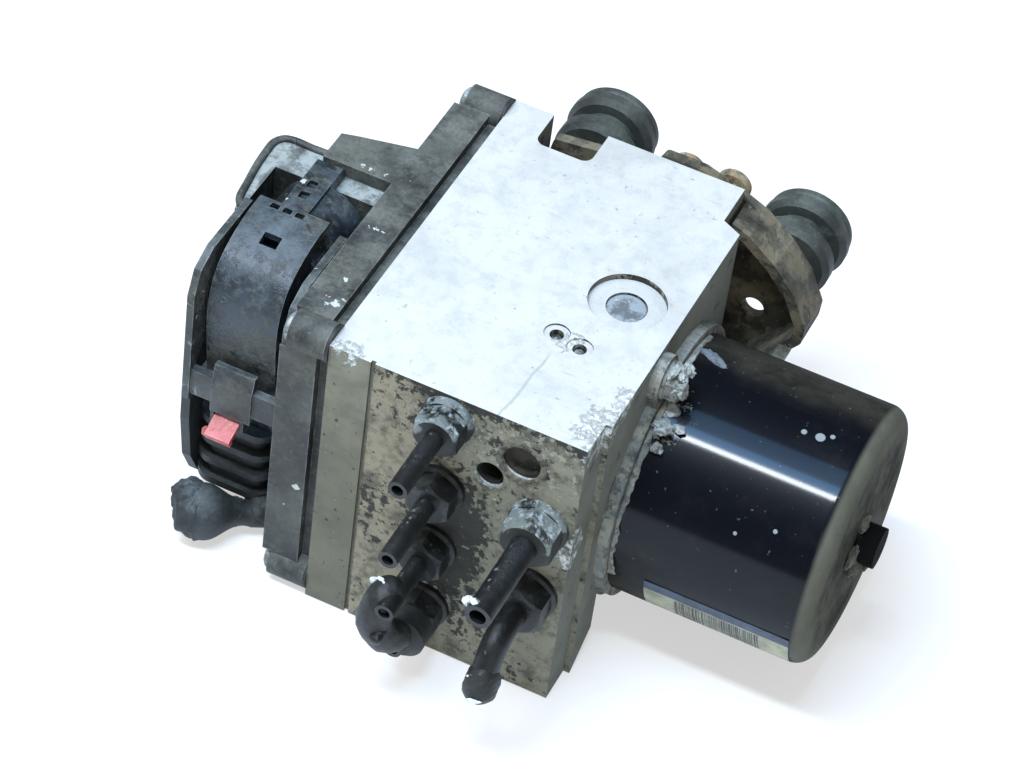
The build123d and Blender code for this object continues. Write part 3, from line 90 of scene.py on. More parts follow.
# ------------------------------------------------------------------ node graph helper
@dataclass
class Graph:
    """Adds nodes to one tree, so that a material reads as a list of steps."""

    tree: bpy.types.NodeTree

    def node(self, kind: str, **settings: object) -> bpy.types.Node:
        """Adds a node and sets its plain properties.

        Args:
            kind: the node's type name.
            settings: its properties, such as operation.

        Returns:
            The node.
        """
        made = self.tree.nodes.new(kind)
        for name, value in settings.items():
            setattr(made, name, value)
        return made

    def feed(self, socket: Socket, value: Value) -> None:
        """Links a socket to another, or sets its own value.

        Args:
            socket: the input to feed.
            value: a socket to link, or a number, vector or colour to set.
        """
        if isinstance(value, bpy.types.NodeSocket):
            self.tree.links.new(value, socket)
        elif isinstance(value, (int, float)) or len(value) != 3 or socket.type != "RGBA":
            socket.default_value = value
        else:
            socket.default_value = (*value, 1.0)

    def math(self, operation: str, first: Value, second: Value = 0.0, clamp: bool = False) -> Socket:
        """One Math node.

        Args:
            operation: the node's operation.
            first: its first value.
            second: its second value.
            clamp: keeps the result between 0 and 1.

        Returns:
            The result.
        """
        made = self.node("ShaderNodeMath", operation=operation, use_clamp=clamp)
        self.feed(made.inputs[0], first)
        self.feed(made.inputs[1], second)
        return made.outputs[0]

    def noise(self, vector: Value, scale: float, detail: float = 4.0, rough: float = 0.55,
              warp: float = 0.0) -> Socket:
        """Noise on a vector, as a value of about 0 to 1.

        Args:
            vector: the coordinates, in metres.
            scale: patches a metre.
            detail: octaves of finer noise.
            rough: how much each finer octave counts.
            warp: how far the noise bends itself.

        Returns:
            The noise.
        """
        made = self.node("ShaderNodeTexNoise")
        self.feed(made.inputs["Vector"], vector)
        made.inputs["Scale"].default_value = scale
        made.inputs["Detail"].default_value = detail
        made.inputs["Roughness"].default_value = rough
        made.inputs["Distortion"].default_value = warp
        return made.outputs["Fac"]

    def cells(self, vector: Value, scale: float) -> Socket:
        """Voronoi distance on a vector.

        Args:
            vector: the coordinates, in metres.
            scale: cells a metre.

        Returns:
            The distance to the nearest cell's middle, in cells.
        """
        made = self.node("ShaderNodeTexVoronoi")
        self.feed(made.inputs["Vector"], vector)
        made.inputs["Scale"].default_value = scale
        return made.outputs["Distance"]

    def window(self, value: Value, low: float, high: float, out_low: float = 0.0,
               out_high: float = 1.0) -> Socket:
        """Maps low to high onto out_low to out_high with smooth ends.

        Args:
            value: what is mapped.
            low: the value that gives out_low; it may be the larger one.
            high: the value that gives out_high.
            out_low: result at and beyond low.
            out_high: result at and beyond high.

        Returns:
            The mapped value.
        """
        made = self.node("ShaderNodeMapRange", interpolation_type="SMOOTHSTEP")
        self.feed(made.inputs["Value"], value)
        made.inputs["From Min"].default_value = low
        made.inputs["From Max"].default_value = high
        made.inputs["To Min"].default_value = out_low
        made.inputs["To Max"].default_value = out_high
        return made.outputs["Result"]

    def mix(self, factor: Value, first: Value, second: Value) -> Socket:
        """Blends two colours.

        Args:
            factor: 0 gives the first, 1 the second.
            first: one colour.
            second: the other.

        Returns:
            The blend.
        """
        made = self.node("ShaderNodeMix", data_type="RGBA")
        self.feed(made.inputs[0], factor)
        self.feed(made.inputs[6], first)
        self.feed(made.inputs[7], second)
        return made.outputs[2]

    def blend(self, factor: Value, first: Value, second: Value) -> Socket:
        """Blends two values.

        Args:
            factor: 0 gives the first, 1 the second.
            first: one value.
            second: the other.

        Returns:
            The blend.
        """
        made = self.node("ShaderNodeMix", data_type="FLOAT")
        self.feed(made.inputs[0], factor)
        self.feed(made.inputs[2], first)
        self.feed(made.inputs[3], second)
        return made.outputs[0]

    def place(self) -> Socket:
        """Object coordinates, which are the frame's metres."""
        return self.node("ShaderNodeTexCoord").outputs["Object"]

    def facing(self) -> tuple[Socket, Socket, Socket]:
        """The surface normal's three parts in object space, before any bump.

        Returns:
            Its X, Y and Z.
        """
        split = self.node("ShaderNodeSeparateXYZ")
        self.tree.links.new(self.node("ShaderNodeTexCoord").outputs["Normal"], split.inputs[0])
        return split.outputs[0], split.outputs[1], split.outputs[2]

    def split(self, vector: Value) -> tuple[Socket, Socket, Socket]:
        """The three parts of a vector.

        Args:
            vector: what is split.

        Returns:
            Its X, Y and Z.
        """
        made = self.node("ShaderNodeSeparateXYZ")
        self.feed(made.inputs[0], vector)
        return made.outputs[0], made.outputs[1], made.outputs[2]

    def away(self, vector: Value, centre: Point, stretch: Point = (1.0, 1.0, 1.0)) -> Socket:
        """Distance in metres from a point, each axis scaled by stretch.

        Args:
            vector: the coordinates, in metres.
            centre: the point.
            stretch: what each axis counts; 0 leaves it out.

        Returns:
            The distance.
        """
        shift = self.node("ShaderNodeVectorMath", operation="SUBTRACT")
        self.feed(shift.inputs[0], vector)
        shift.inputs[1].default_value = centre
        scaled = self.node("ShaderNodeVectorMath", operation="MULTIPLY")
        self.feed(scaled.inputs[0], shift.outputs[0])
        scaled.inputs[1].default_value = stretch
        length = self.node("ShaderNodeVectorMath", operation="LENGTH")
        self.feed(length.inputs[0], scaled.outputs[0])
        return length.outputs["Value"]

    def threshold(self, coverage: Value, high: float, span: float) -> Socket:
        """Turns a coverage into a threshold on noise: high - span * coverage.

        Args:
            coverage: 0 to 1.
            high: the threshold at no coverage.
            span: how far full coverage lowers it.

        Returns:
            The threshold.
        """
        made = self.math("MULTIPLY_ADD", coverage, -span)
        made.node.inputs[2].default_value = high
        return made

    def add(self, first: Value, second: Value) -> Socket:
        """Sum of two values, kept between 0 and 1."""
        return self.math("ADD", first, second, clamp=True)

    def times(self, first: Value, second: Value) -> Socket:
        """Product of two values."""
        return self.math("MULTIPLY", first, second)

    def most(self, first: Value, second: Value) -> Socket:
        """The larger of two values."""
        return self.math("MAXIMUM", first, second)

    def invert(self, value: Value) -> Socket:
        """One minus a value."""
        return self.math("SUBTRACT", 1.0, value)


# ------------------------------------------------------------------ shared effects
# Noise crowds around 0.5, so a coverage of 0 to 1 becomes a threshold on it of HIGH down to HIGH - SPAN.
MOTTLE_HIGH, MOTTLE_SPAN = 0.72, 0.44
CRUST_HIGH, CRUST_SPAN = 0.76, 0.5
CRUST_STEEPNESS = 9.0
LUMPS_A_GRAIN = 2.2


class Effect(Enum):
    """The shader groups that several finishes share."""

    MOTTLE = "mottle"
    CRUST = "crust"
    DUST = "dust"
    WORN_EDGE = "worn_edge"


def new_group(effect: Effect, inputs: Sequence[tuple[str, str, float]],
              outputs: Sequence[tuple[str, str]]) -> tuple[Graph, bpy.types.Node, bpy.types.Node]:
    """Starts a shader group.

    Args:
        effect: names the group.
        inputs: name, socket type and default of each input.
        outputs: name and socket type of each output.

    Returns:
        The group's graph, its input node and its output node.
    """
    tree = bpy.data.node_groups.new(effect.value, "ShaderNodeTree")
    for name, kind, default in inputs:
        made = tree.interface.new_socket(name, in_out="INPUT", socket_type=kind)
        if kind == "NodeSocketFloat":
            made.default_value = default
    for name, kind in outputs:
        tree.interface.new_socket(name, in_out="OUTPUT", socket_type=kind)
    graph = Graph(tree)
    return graph, graph.node("NodeGroupInput"), graph.node("NodeGroupOutput")


def scaled_noise(graph: Graph, vector: Socket, scale: Socket, detail: float, rough: float) -> Socket:
    """Noise whose scale comes from a socket.

    Args:
        graph: the graph that gets the node.
        vector: the coordinates.
        scale: the socket with patches a metre.
        detail: octaves of finer noise.
        rough: how much each finer octave counts.

    Returns:
        The noise.
    """
    made = graph.node("ShaderNodeTexNoise")
    graph.feed(made.inputs["Vector"], vector)
    graph.feed(made.inputs["Scale"], scale)
    made.inputs["Detail"].default_value = detail
    made.inputs["Roughness"].default_value = rough
    return made.outputs["Fac"]


def build_mottle() -> None:
    """Patches with ragged rims: noise is cut at a threshold that Coverage lowers, over a width of Softness."""
    graph, given, out = new_group(
        Effect.MOTTLE,
        [("Vector", "NodeSocketVector", 0.0), ("Scale", "NodeSocketFloat", 200.0),
         ("Coverage", "NodeSocketFloat", 0.4), ("Softness", "NodeSocketFloat", 0.05)],
        [("Mask", "NodeSocketFloat")])
    coarse = scaled_noise(graph, given.outputs["Vector"], given.outputs["Scale"], 6.0, 0.62)
    cut = graph.threshold(given.outputs["Coverage"], MOTTLE_HIGH, MOTTLE_SPAN)
    over = graph.math("SUBTRACT", coarse, cut)
    ratio = graph.math("DIVIDE", over, given.outputs["Softness"])
    graph.feed(out.inputs["Mask"], graph.math("ADD", ratio, 0.5, clamp=True))


def build_crust() -> None:
    """Lumpy white corrosion: noise above a threshold that Amount lowers is the mask, and cells in it the height."""
    graph, given, out = new_group(
        Effect.CRUST,
        [("Vector", "NodeSocketVector", 0.0), ("Scale", "NodeSocketFloat", 350.0),
         ("Amount", "NodeSocketFloat", 0.3)],
        [("Mask", "NodeSocketFloat"), ("Height", "NodeSocketFloat")])
    grain = scaled_noise(graph, given.outputs["Vector"], given.outputs["Scale"], 8.0, 0.7)
    cut = graph.threshold(given.outputs["Amount"], CRUST_HIGH, CRUST_SPAN)
    rise = graph.math("MULTIPLY", graph.math("SUBTRACT", grain, cut), CRUST_STEEPNESS, clamp=True)
    lumps = graph.node("ShaderNodeTexVoronoi")
    graph.feed(lumps.inputs["Vector"], given.outputs["Vector"])
    graph.feed(lumps.inputs["Scale"], graph.times(given.outputs["Scale"], LUMPS_A_GRAIN))
    height = graph.times(rise, graph.math("SUBTRACT", 1.0, lumps.outputs["Distance"]))
    graph.feed(out.inputs["Mask"], rise)
    graph.feed(out.inputs["Height"], height)


def build_dust() -> None:
    """Dust that settles on what faces up: the normal's Z times broken noise."""
    graph, given, out = new_group(
        Effect.DUST,
        [("Vector", "NodeSocketVector", 0.0), ("Amount", "NodeSocketFloat", 0.5),
         ("Everywhere", "NodeSocketFloat", 0.2)],
        [("Mask", "NodeSocketFloat")])
    _, _, up = graph.facing()
    lying = graph.window(up, 0.1, 1.0)
    base = graph.math("MAXIMUM", lying, given.outputs["Everywhere"])
    cloud = graph.window(graph.noise(given.outputs["Vector"], 60.0, 7.0, 0.6), 0.3, 0.72)
    grain = graph.window(graph.noise(given.outputs["Vector"], 900.0, 3.0), 0.3, 0.7, 0.55, 1.0)
    dusty = graph.times(graph.times(base, cloud), grain)
    graph.feed(out.inputs["Mask"], graph.math("MULTIPLY", dusty, given.outputs["Amount"], clamp=True))


def build_worn_edge() -> None:
    """Rubbed edges: where the normal rounded over Radius leaves the true one, broken by noise."""
    graph, given, out = new_group(
        Effect.WORN_EDGE,
        [("Vector", "NodeSocketVector", 0.0), ("Radius", "NodeSocketFloat", 0.6 * MM),
         ("Amount", "NodeSocketFloat", 1.0)],
        [("Mask", "NodeSocketFloat")])
    rounded = graph.node("ShaderNodeBevel", samples=4)
    graph.feed(rounded.inputs["Radius"], given.outputs["Radius"])
    true = graph.node("ShaderNodeNewGeometry")
    dot = graph.node("ShaderNodeVectorMath", operation="DOT_PRODUCT")
    graph.feed(dot.inputs[0], rounded.outputs[0])
    graph.feed(dot.inputs[1], true.outputs["Normal"])
    edge = graph.window(graph.math("SUBTRACT", 1.0, dot.outputs["Value"]), 0.02, 0.14)
    broken = graph.window(graph.noise(given.outputs["Vector"], 260.0, 6.0, 0.65), 0.38, 0.62)
    graph.feed(out.inputs["Mask"], graph.math("MULTIPLY", graph.times(edge, broken),
                                              given.outputs["Amount"], clamp=True))


def effect(graph: Graph, which: Effect, vector: Socket, **values: Value) -> bpy.types.NodeOutputs:
    """Places a shared effect in a material.

    Args:
        graph: the material's graph.
        which: the effect to place.
        vector: the coordinates that it works on.
        values: its other inputs, by name with capitals as in the group.

    Returns:
        The placed group's outputs.
    """
    made = graph.node("ShaderNodeGroup")
    made.node_tree = bpy.data.node_groups[which.value]
    graph.feed(made.inputs["Vector"], vector)
    for name, value in values.items():
        graph.feed(made.inputs[name], value)
    return made.outputs


# ------------------------------------------------------------------ finishes
@dataclass(frozen=True)
class Finish:
    """What every finish has: a material name, and its gloss and metal."""

    name: str
    roughness: float = 0.6
    metallic: float = 0.0
    specular: float = 0.5
    coat: float = 0.0
    coat_roughness: float = 0.1

    def start(self) -> tuple[bpy.types.Material, Graph, bpy.types.Node]:
        """Makes the material with its Principled shader and the constants set on it.

        Returns:
            The material, its graph and its shader.
        """
        material = bpy.data.materials.new(self.name)
        material.use_nodes = True
        graph = Graph(material.node_tree)
        shader = material.node_tree.nodes["Principled BSDF"]
        shader.inputs["Roughness"].default_value = self.roughness
        shader.inputs["Metallic"].default_value = self.metallic
        shader.inputs["Specular IOR Level"].default_value = self.specular
        shader.inputs["Coat Weight"].default_value = self.coat
        shader.inputs["Coat Roughness"].default_value = self.coat_roughness
        return material, graph, shader

    @staticmethod
    def relief(graph: Graph, shader: bpy.types.Node, height: Socket, strength: float, reach: float) -> None:
        """Feeds a height through a Bump node into the shader.

        Args:
            graph: the material's graph.
            shader: its Principled shader.
            height: the height, about 0 to 1.
            strength: how strongly it shows.
            reach: the depth of a height of 1, in metres.
        """
        bump = graph.node("ShaderNodeBump")
        bump.inputs["Strength"].default_value = strength
        bump.inputs["Distance"].default_value = reach
        graph.feed(bump.inputs["Height"], height)
        graph.feed(shader.inputs["Normal"], bump.outputs["Normal"])


@dataclass(frozen=True)
class BlockFinish(Finish):
    """Corroded cast aluminium: pale brushed top, tan and black port face, olive strip, white crust."""

    top: Colour = srgb(187, 187, 182)
    top_stain: Colour = srgb(150, 151, 146)
    tan: Colour = srgb(134, 127, 106)
    soot: Colour = srgb(27, 27, 22)
    olive: Colour = srgb(122, 120, 103)
    olive_dark: Colour = srgb(92, 91, 77)
    side: Colour = srgb(108, 112, 103)
    white: Colour = srgb(212, 217, 212)
    crust_spots: Spots = ()
    seam_x: float = 50.0
    seam_ends: tuple[float, float] = (30.0, 24.0)
    strip_edge: tuple[float, float] = (12.2, 13.4)

    def make(self) -> bpy.types.Material:
        """Builds the material.

        Returns:
            The block's material, laid out by which way a face looks and where it lies.
        """
        material, graph, shader = self.start()
        place = graph.place()
        x, y, z = graph.split(place)
        _, face_y, face_z = graph.facing()
        is_top = graph.window(face_z, 0.6, 0.8)
        is_front = graph.window(graph.times(face_y, -1.0), 0.6, 0.8)
        top = self.top_colour(graph, place, x, y)
        front, front_dark = self.front_colour(graph, place, x, z)
        side = self.side_colour(graph, place)
        colour = graph.mix(is_front, side, front)
        colour = graph.mix(is_top, colour, top)
        crust = effect(graph, Effect.CRUST, place, Scale=330.0, Amount=self.crust_amount(graph, place, is_top))
        colour = graph.mix(graph.times(crust["Mask"], 0.85), colour, self.white)
        graph.feed(shader.inputs["Base Color"], colour)
        rough = graph.blend(is_top, 0.82, 0.72)
        graph.feed(shader.inputs["Roughness"], graph.most(rough, graph.times(crust["Mask"], 0.9)))
        pits = graph.times(graph.most(front_dark, graph.noise(place, 330.0, 6.0, 0.75)), graph.invert(is_top))
        height = graph.math("SUBTRACT", graph.times(crust["Height"], 1.6), graph.times(pits, 0.5))
        height = graph.math("ADD", height, graph.times(graph.noise(place, 1500.0, 3.0), 0.18))
        self.relief(graph, shader, height, 0.8, 0.8 * MM)
        return material

    def top_colour(self, graph: Graph, place: Socket, x: Socket, y: Socket) -> Socket:
        """The milled top: pale, with faint stains, a seam line, scuffs and a few specks.

        Args:
            graph: the material's graph.
            place: object coordinates.
            x: their X.
            y: their Y.

        Returns:
            The colour.
        """
        stain = graph.window(graph.noise(place, 30.0, 9.0, 0.66, 0.5), 0.42, 0.7)
        colour = graph.mix(graph.times(stain, 0.5), self.top, self.top_stain)
        mottle = graph.window(graph.noise(place, 210.0, 7.0, 0.7), 0.46, 0.64)
        colour = graph.mix(graph.times(mottle, 0.3), colour, self.top_stain)
        streak = graph.node("ShaderNodeMapping")
        graph.feed(streak.inputs["Vector"], place)
        streak.inputs["Rotation"].default_value = (0.0, 0.0, math.radians(38))
        streak.inputs["Scale"].default_value = (1.0, 16.0, 1.0)
        scuff = graph.window(graph.noise(streak.outputs[0], 60.0, 6.0, 0.7), 0.62, 0.7)
        colour = graph.mix(graph.times(scuff, 0.4), colour, srgb(120, 122, 114))
        wave = graph.times(graph.math("SUBTRACT", graph.noise(place, 60.0, 4.0), 0.5), 3 * MM)
        slant = graph.math("ADD", graph.times(graph.math("SUBTRACT", y, FRONT), 0.05), wave)
        line = graph.math("SUBTRACT", x, graph.math("ADD", slant, at(self.seam_x, 0, 0)[0]))
        thin = graph.window(graph.math("ABSOLUTE", line), 0.6 * MM, 0.2 * MM)
        begin, end = (at(0, y_end, 0)[1] for y_end in self.seam_ends)
        seam = graph.times(thin, graph.window(y, begin, end))
        colour = graph.mix(graph.times(seam, 0.42), colour, srgb(120, 124, 118))
        specks = graph.window(graph.noise(place, 420.0, 2.0, 0.5), 0.72, 0.78)
        return graph.mix(graph.times(specks, 0.3), colour, srgb(112, 112, 104))

    def front_colour(self, graph: Graph, place: Socket, x: Socket, z: Socket) -> tuple[Socket, Socket]:
        """The port face: tan and olive eaten by soot, and the olive strip at its left.

        Args:
            graph: the material's graph.
            place: object coordinates.
            x: their X.
            z: their Z.

        Returns:
            The colour, and a mask of what is eaten.
        """
        broad = graph.noise(place, 48.0, 7.0, 0.65)
        tint = self.front_tint(graph, place, x, broad)
        fine = graph.noise(place, 430.0, 7.0, 0.66)
        mixed = graph.math("ADD", graph.times(fine, 0.62), graph.times(broad, 0.38))
        cut = graph.threshold(self.front_coverage(graph, place, z), 0.66, 0.34)
        over = graph.math("DIVIDE", graph.math("SUBTRACT", mixed, cut), 0.045)
        eaten = graph.math("ADD", over, 0.5, clamp=True)
        main = graph.mix(graph.times(eaten, 0.92), tint, self.soot)
        edge_low, edge_high = (at(edge, 0, 0)[0] for edge in self.strip_edge)
        is_main = graph.window(x, edge_low, edge_high)
        return graph.mix(is_main, self.strip_colour(graph, place, z), main), graph.times(eaten, is_main)

    def front_tint(self, graph: Graph, place: Socket, x: Socket, broad: Socket) -> Socket:
        """What the soot leaves: tan at the left, olive at the right, clouds, and crumbs near the big plug.

        Args:
            graph: the material's graph.
            place: object coordinates.
            x: their X.
            broad: noise in broad patches.

        Returns:
            The colour.
        """
        leftwards = graph.window(x, at(46, 0, 0)[0], at(22, 0, 0)[0])
        tanned = graph.math("ADD", graph.times(broad, 0.8), graph.times(leftwards, 0.34))
        tint = graph.mix(graph.window(tanned, 0.44, 0.66), self.olive, self.tan)
        clouds = graph.window(graph.noise(place, 120.0, 7.0, 0.74), 0.44, 0.64, 0.0, 0.85)
        tint = graph.mix(clouds, tint, srgb(66, 65, 54))
        crumbs = graph.window(graph.noise(place, 560.0, 5.0, 0.7), 0.56, 0.6)
        upper = graph.window(graph.away(place, at(60, 0, 92), (0.55, 0.0, 1.2)), 10 * MM, 26 * MM, 0.7, 0.12)
        return graph.mix(graph.times(crumbs, upper), tint, srgb(150, 149, 134))

    @staticmethod
    def front_coverage(graph: Graph, place: Socket, z: Socket) -> Socket:
        """How much soot lies: most round the nuts, much by the big plug and left of the middle, a band on top.

        Args:
            graph: the material's graph.
            place: object coordinates.
            z: their Z.

        Returns:
            The coverage, 0 to 1.
        """
        nuts = graph.window(graph.away(place, at(38, 0, 46), (1.3, 0.0, 0.62)), 8 * MM, 27 * MM)
        plug = graph.window(graph.away(place, at(59, 0, 87), (0.8, 0.0, 1.3)), 4 * MM, 14 * MM)
        rim = graph.window(z, at(0, 0, 91.5)[2], at(0, 0, 97.0)[2], 0.0, 0.3)
        sooty = graph.most(graph.blend(nuts, 0.74, 0.05), graph.blend(plug, 0.52, 0.0))
        middle = graph.window(graph.away(place, at(20, 0, 48), (1.0, 0.0, 0.5)), 4 * MM, 18 * MM, 0.36, 0.0)
        return graph.most(graph.most(sooty, middle), graph.math("ADD", rim, 0.24))

    def strip_colour(self, graph: Graph, place: Socket, z: Socket) -> Socket:
        """The strip at the port face's left: olive, dirtier low down, with small dark pits.

        Args:
            graph: the material's graph.
            place: object coordinates.
            z: their Z.

        Returns:
            The colour.
        """
        grain = graph.window(graph.noise(place, 70.0, 6.0, 0.6), 0.35, 0.7)
        strip = graph.mix(grain, self.olive, self.olive_dark)
        low_strip = graph.window(z, at(0, 0, 45)[2], at(0, 0, 95)[2], 0.55, 0.0)
        strip = graph.mix(low_strip, strip, srgb(82, 80, 66))
        pit = effect(graph, Effect.MOTTLE, place, Scale=480.0, Coverage=0.14, Softness=0.03)["Mask"]
        return graph.mix(graph.times(pit, 0.85), strip, self.soot)

    def side_colour(self, graph: Graph, place: Socket) -> Socket:
        """The other faces: grey with olive clouds and dark pits.

        Args:
            graph: the material's graph.
            place: object coordinates.

        Returns:
            The colour.
        """
        cloud = graph.window(graph.noise(place, 38.0, 7.0, 0.62), 0.34, 0.68)
        colour = graph.mix(cloud, self.side, self.olive_dark)
        pit = effect(graph, Effect.MOTTLE, place, Scale=150.0, Coverage=0.2, Softness=0.06)["Mask"]
        return graph.mix(graph.times(pit, 0.7), colour, self.soot)

    def crust_amount(self, graph: Graph, place: Socket, is_top: Socket) -> Socket:
        """How much white crust grows: a little everywhere, more around each listed spot.

        Args:
            graph: the material's graph.
            place: object coordinates.
            is_top: mask of the top.

        Returns:
            The amount, 0 to 1.
        """
        amount: Value = graph.blend(is_top, 0.24, 0.2)
        for centre, reach in self.crust_spots:
            near = graph.window(graph.away(place, centre), reach * 0.35, reach, 0.62, 0.0)
            amount = graph.most(amount, near)
        return amount


@dataclass(frozen=True)
class PlasticFinish(Finish):
    """Moulded black plastic gone grey: dust, dried mud, hair scratches, pale chips and worn edges."""

    base: Colour = srgb(40, 43, 43)
    faded: Colour = srgb(78, 84, 84)
    dust: Colour = srgb(150, 156, 152)
    edge: Colour = srgb(170, 172, 164)
    mud: Colour = srgb(92, 92, 80)
    dust_amount: float = 0.6
    everywhere: float = 0.3
    edge_amount: float = 0.55
    mud_amount: float = 0.3
    scratch_amount: float = 0.5
    chips: Spots = ()
    mud_spots: Spots = ()
    flat_height: float = 0.0
    flat_colour: Colour = srgb(150, 157, 155)

    def make(self) -> bpy.types.Material:
        """Builds the material.

        Returns:
            The plastic, from its base colour up through fading, dirt, dust and wear.
        """
        material, graph, shader = self.start()
        place = graph.place()
        colour = graph.mix(graph.window(graph.noise(place, 42.0, 9.0, 0.68), 0.38, 0.64), self.base, self.faded)
        if self.flat_height:
            colour = self.flats(graph, place, colour)
        dust = effect(graph, Effect.DUST, place, Amount=self.dust_amount, Everywhere=self.everywhere)["Mask"]
        colour = graph.mix(dust, colour, self.dust)
        grime = effect(graph, Effect.MOTTLE, place, Scale=150.0, Coverage=0.4, Softness=0.12)["Mask"]
        colour = graph.mix(graph.times(grime, 0.5), colour, tuple(0.55 * part for part in self.base))
        cover = self.mud_cover(graph, place)
        mud = effect(graph, Effect.MOTTLE, place, Scale=420.0, Coverage=cover, Softness=0.16)["Mask"]
        broken = effect(graph, Effect.MOTTLE, place, Scale=900.0, Coverage=0.5, Softness=0.2)["Mask"]
        mud = graph.times(mud, graph.blend(broken, 0.45, 1.0))
        colour = graph.mix(graph.times(mud, 0.75), colour, self.mud)
        scuff = graph.window(graph.noise(place, 170.0, 9.0, 0.75, 0.6), 0.61, 0.67)
        hair = self.hairs(graph, place)
        colour = graph.mix(graph.times(graph.most(scuff, hair), self.scratch_amount), colour, self.edge)
        chip = self.chip_mask(graph, place)
        colour = graph.mix(graph.times(chip, 0.85), colour, srgb(186, 192, 188))
        worn = effect(graph, Effect.WORN_EDGE, place, Amount=self.edge_amount)["Mask"]
        colour = graph.mix(worn, colour, self.edge)
        graph.feed(shader.inputs["Base Color"], colour)
        matt = graph.most(graph.times(dust, 1.2), graph.most(graph.times(mud, 0.9), chip))
        graph.feed(shader.inputs["Roughness"], graph.blend(graph.math("MINIMUM", matt, 1.0), self.roughness, 0.9))
        height = graph.math("ADD", graph.times(graph.noise(place, 1300.0, 2.0), 0.3), graph.times(mud, 0.9))
        height = graph.math("SUBTRACT", height, graph.times(hair, 0.6))
        self.relief(graph, shader, height, 0.45, 0.5 * MM)
        return material

    def flats(self, graph: Graph, place: Socket, colour: Socket) -> Socket:
        """The rear tower's bare flats: pale where they face up at one height, inside a dark rim.

        Args:
            graph: the material's graph.
            place: object coordinates.
            colour: what lies under them.

        Returns:
            The colour with them.
        """
        _, _, up = graph.facing()
        _, _, z = graph.split(place)
        level = graph.window(graph.math("ABSOLUTE", graph.math("SUBTRACT", z, self.flat_height)), 0.8 * MM, 0.4 * MM)
        flat = graph.times(level, graph.window(up, 0.8, 0.95))
        rim = effect(graph, Effect.WORN_EDGE, place, Radius=2.6 * MM, Amount=1.0)["Mask"]
        blots = graph.window(graph.noise(place, 110.0, 8.0, 0.72), 0.5, 0.6, 0.0, 0.8)
        held = graph.times(flat, graph.invert(graph.most(rim, blots)))
        return graph.mix(held, colour, self.flat_colour)

    def mud_cover(self, graph: Graph, place: Socket) -> Value:
        """How much dried mud lies: a thin share everywhere and more near each listed spot.

        Args:
            graph: the material's graph.
            place: object coordinates.

        Returns:
            The coverage, 0 to 1.
        """
        cover: Value = self.mud_amount
        for centre, reach in self.mud_spots:
            cover = graph.most(cover, graph.window(graph.away(place, centre), reach * 0.4, reach, 0.66, 0.0))
        return cover

    def chip_mask(self, graph: Graph, place: Socket) -> Socket:
        """Pale chips: each a ragged spot, its edge moved by noise, plus a few random flecks.

        Args:
            graph: the material's graph.
            place: object coordinates.

        Returns:
            A mask.
        """
        ragged = graph.times(graph.math("SUBTRACT", graph.noise(place, 520.0, 5.0, 0.7), 0.5), 6 * MM)
        flecks = graph.window(graph.noise(place, 300.0, 2.0, 0.5), 0.74, 0.76, 0.0, 0.6)
        total: Socket = flecks
        for centre, reach in self.chips:
            off = graph.math("ADD", graph.away(place, centre), ragged)
            total = graph.most(total, graph.window(off, reach * 0.6, reach * 0.4))
        return total

    @staticmethod
    def hairs(graph: Graph, place: Socket) -> Socket:
        """Hair scratches: thin bands where a stretched noise crosses its middle, in sparse patches.

        Args:
            graph: the material's graph.
            place: object coordinates.

        Returns:
            A mask.
        """
        turned = graph.node("ShaderNodeMapping")
        graph.feed(turned.inputs["Vector"], place)
        turned.inputs["Rotation"].default_value = (0.5, 0.2, 0.9)
        turned.inputs["Scale"].default_value = (0.25, 1.5, 1.0)
        wave = graph.math("ABSOLUTE", graph.math("SUBTRACT", graph.noise(turned.outputs[0], 150.0, 3.0, 0.5), 0.5))
        sparse = graph.window(graph.noise(place, 75.0, 3.0), 0.54, 0.62)
        return graph.times(graph.window(wave, 0.012, 0.004), sparse)


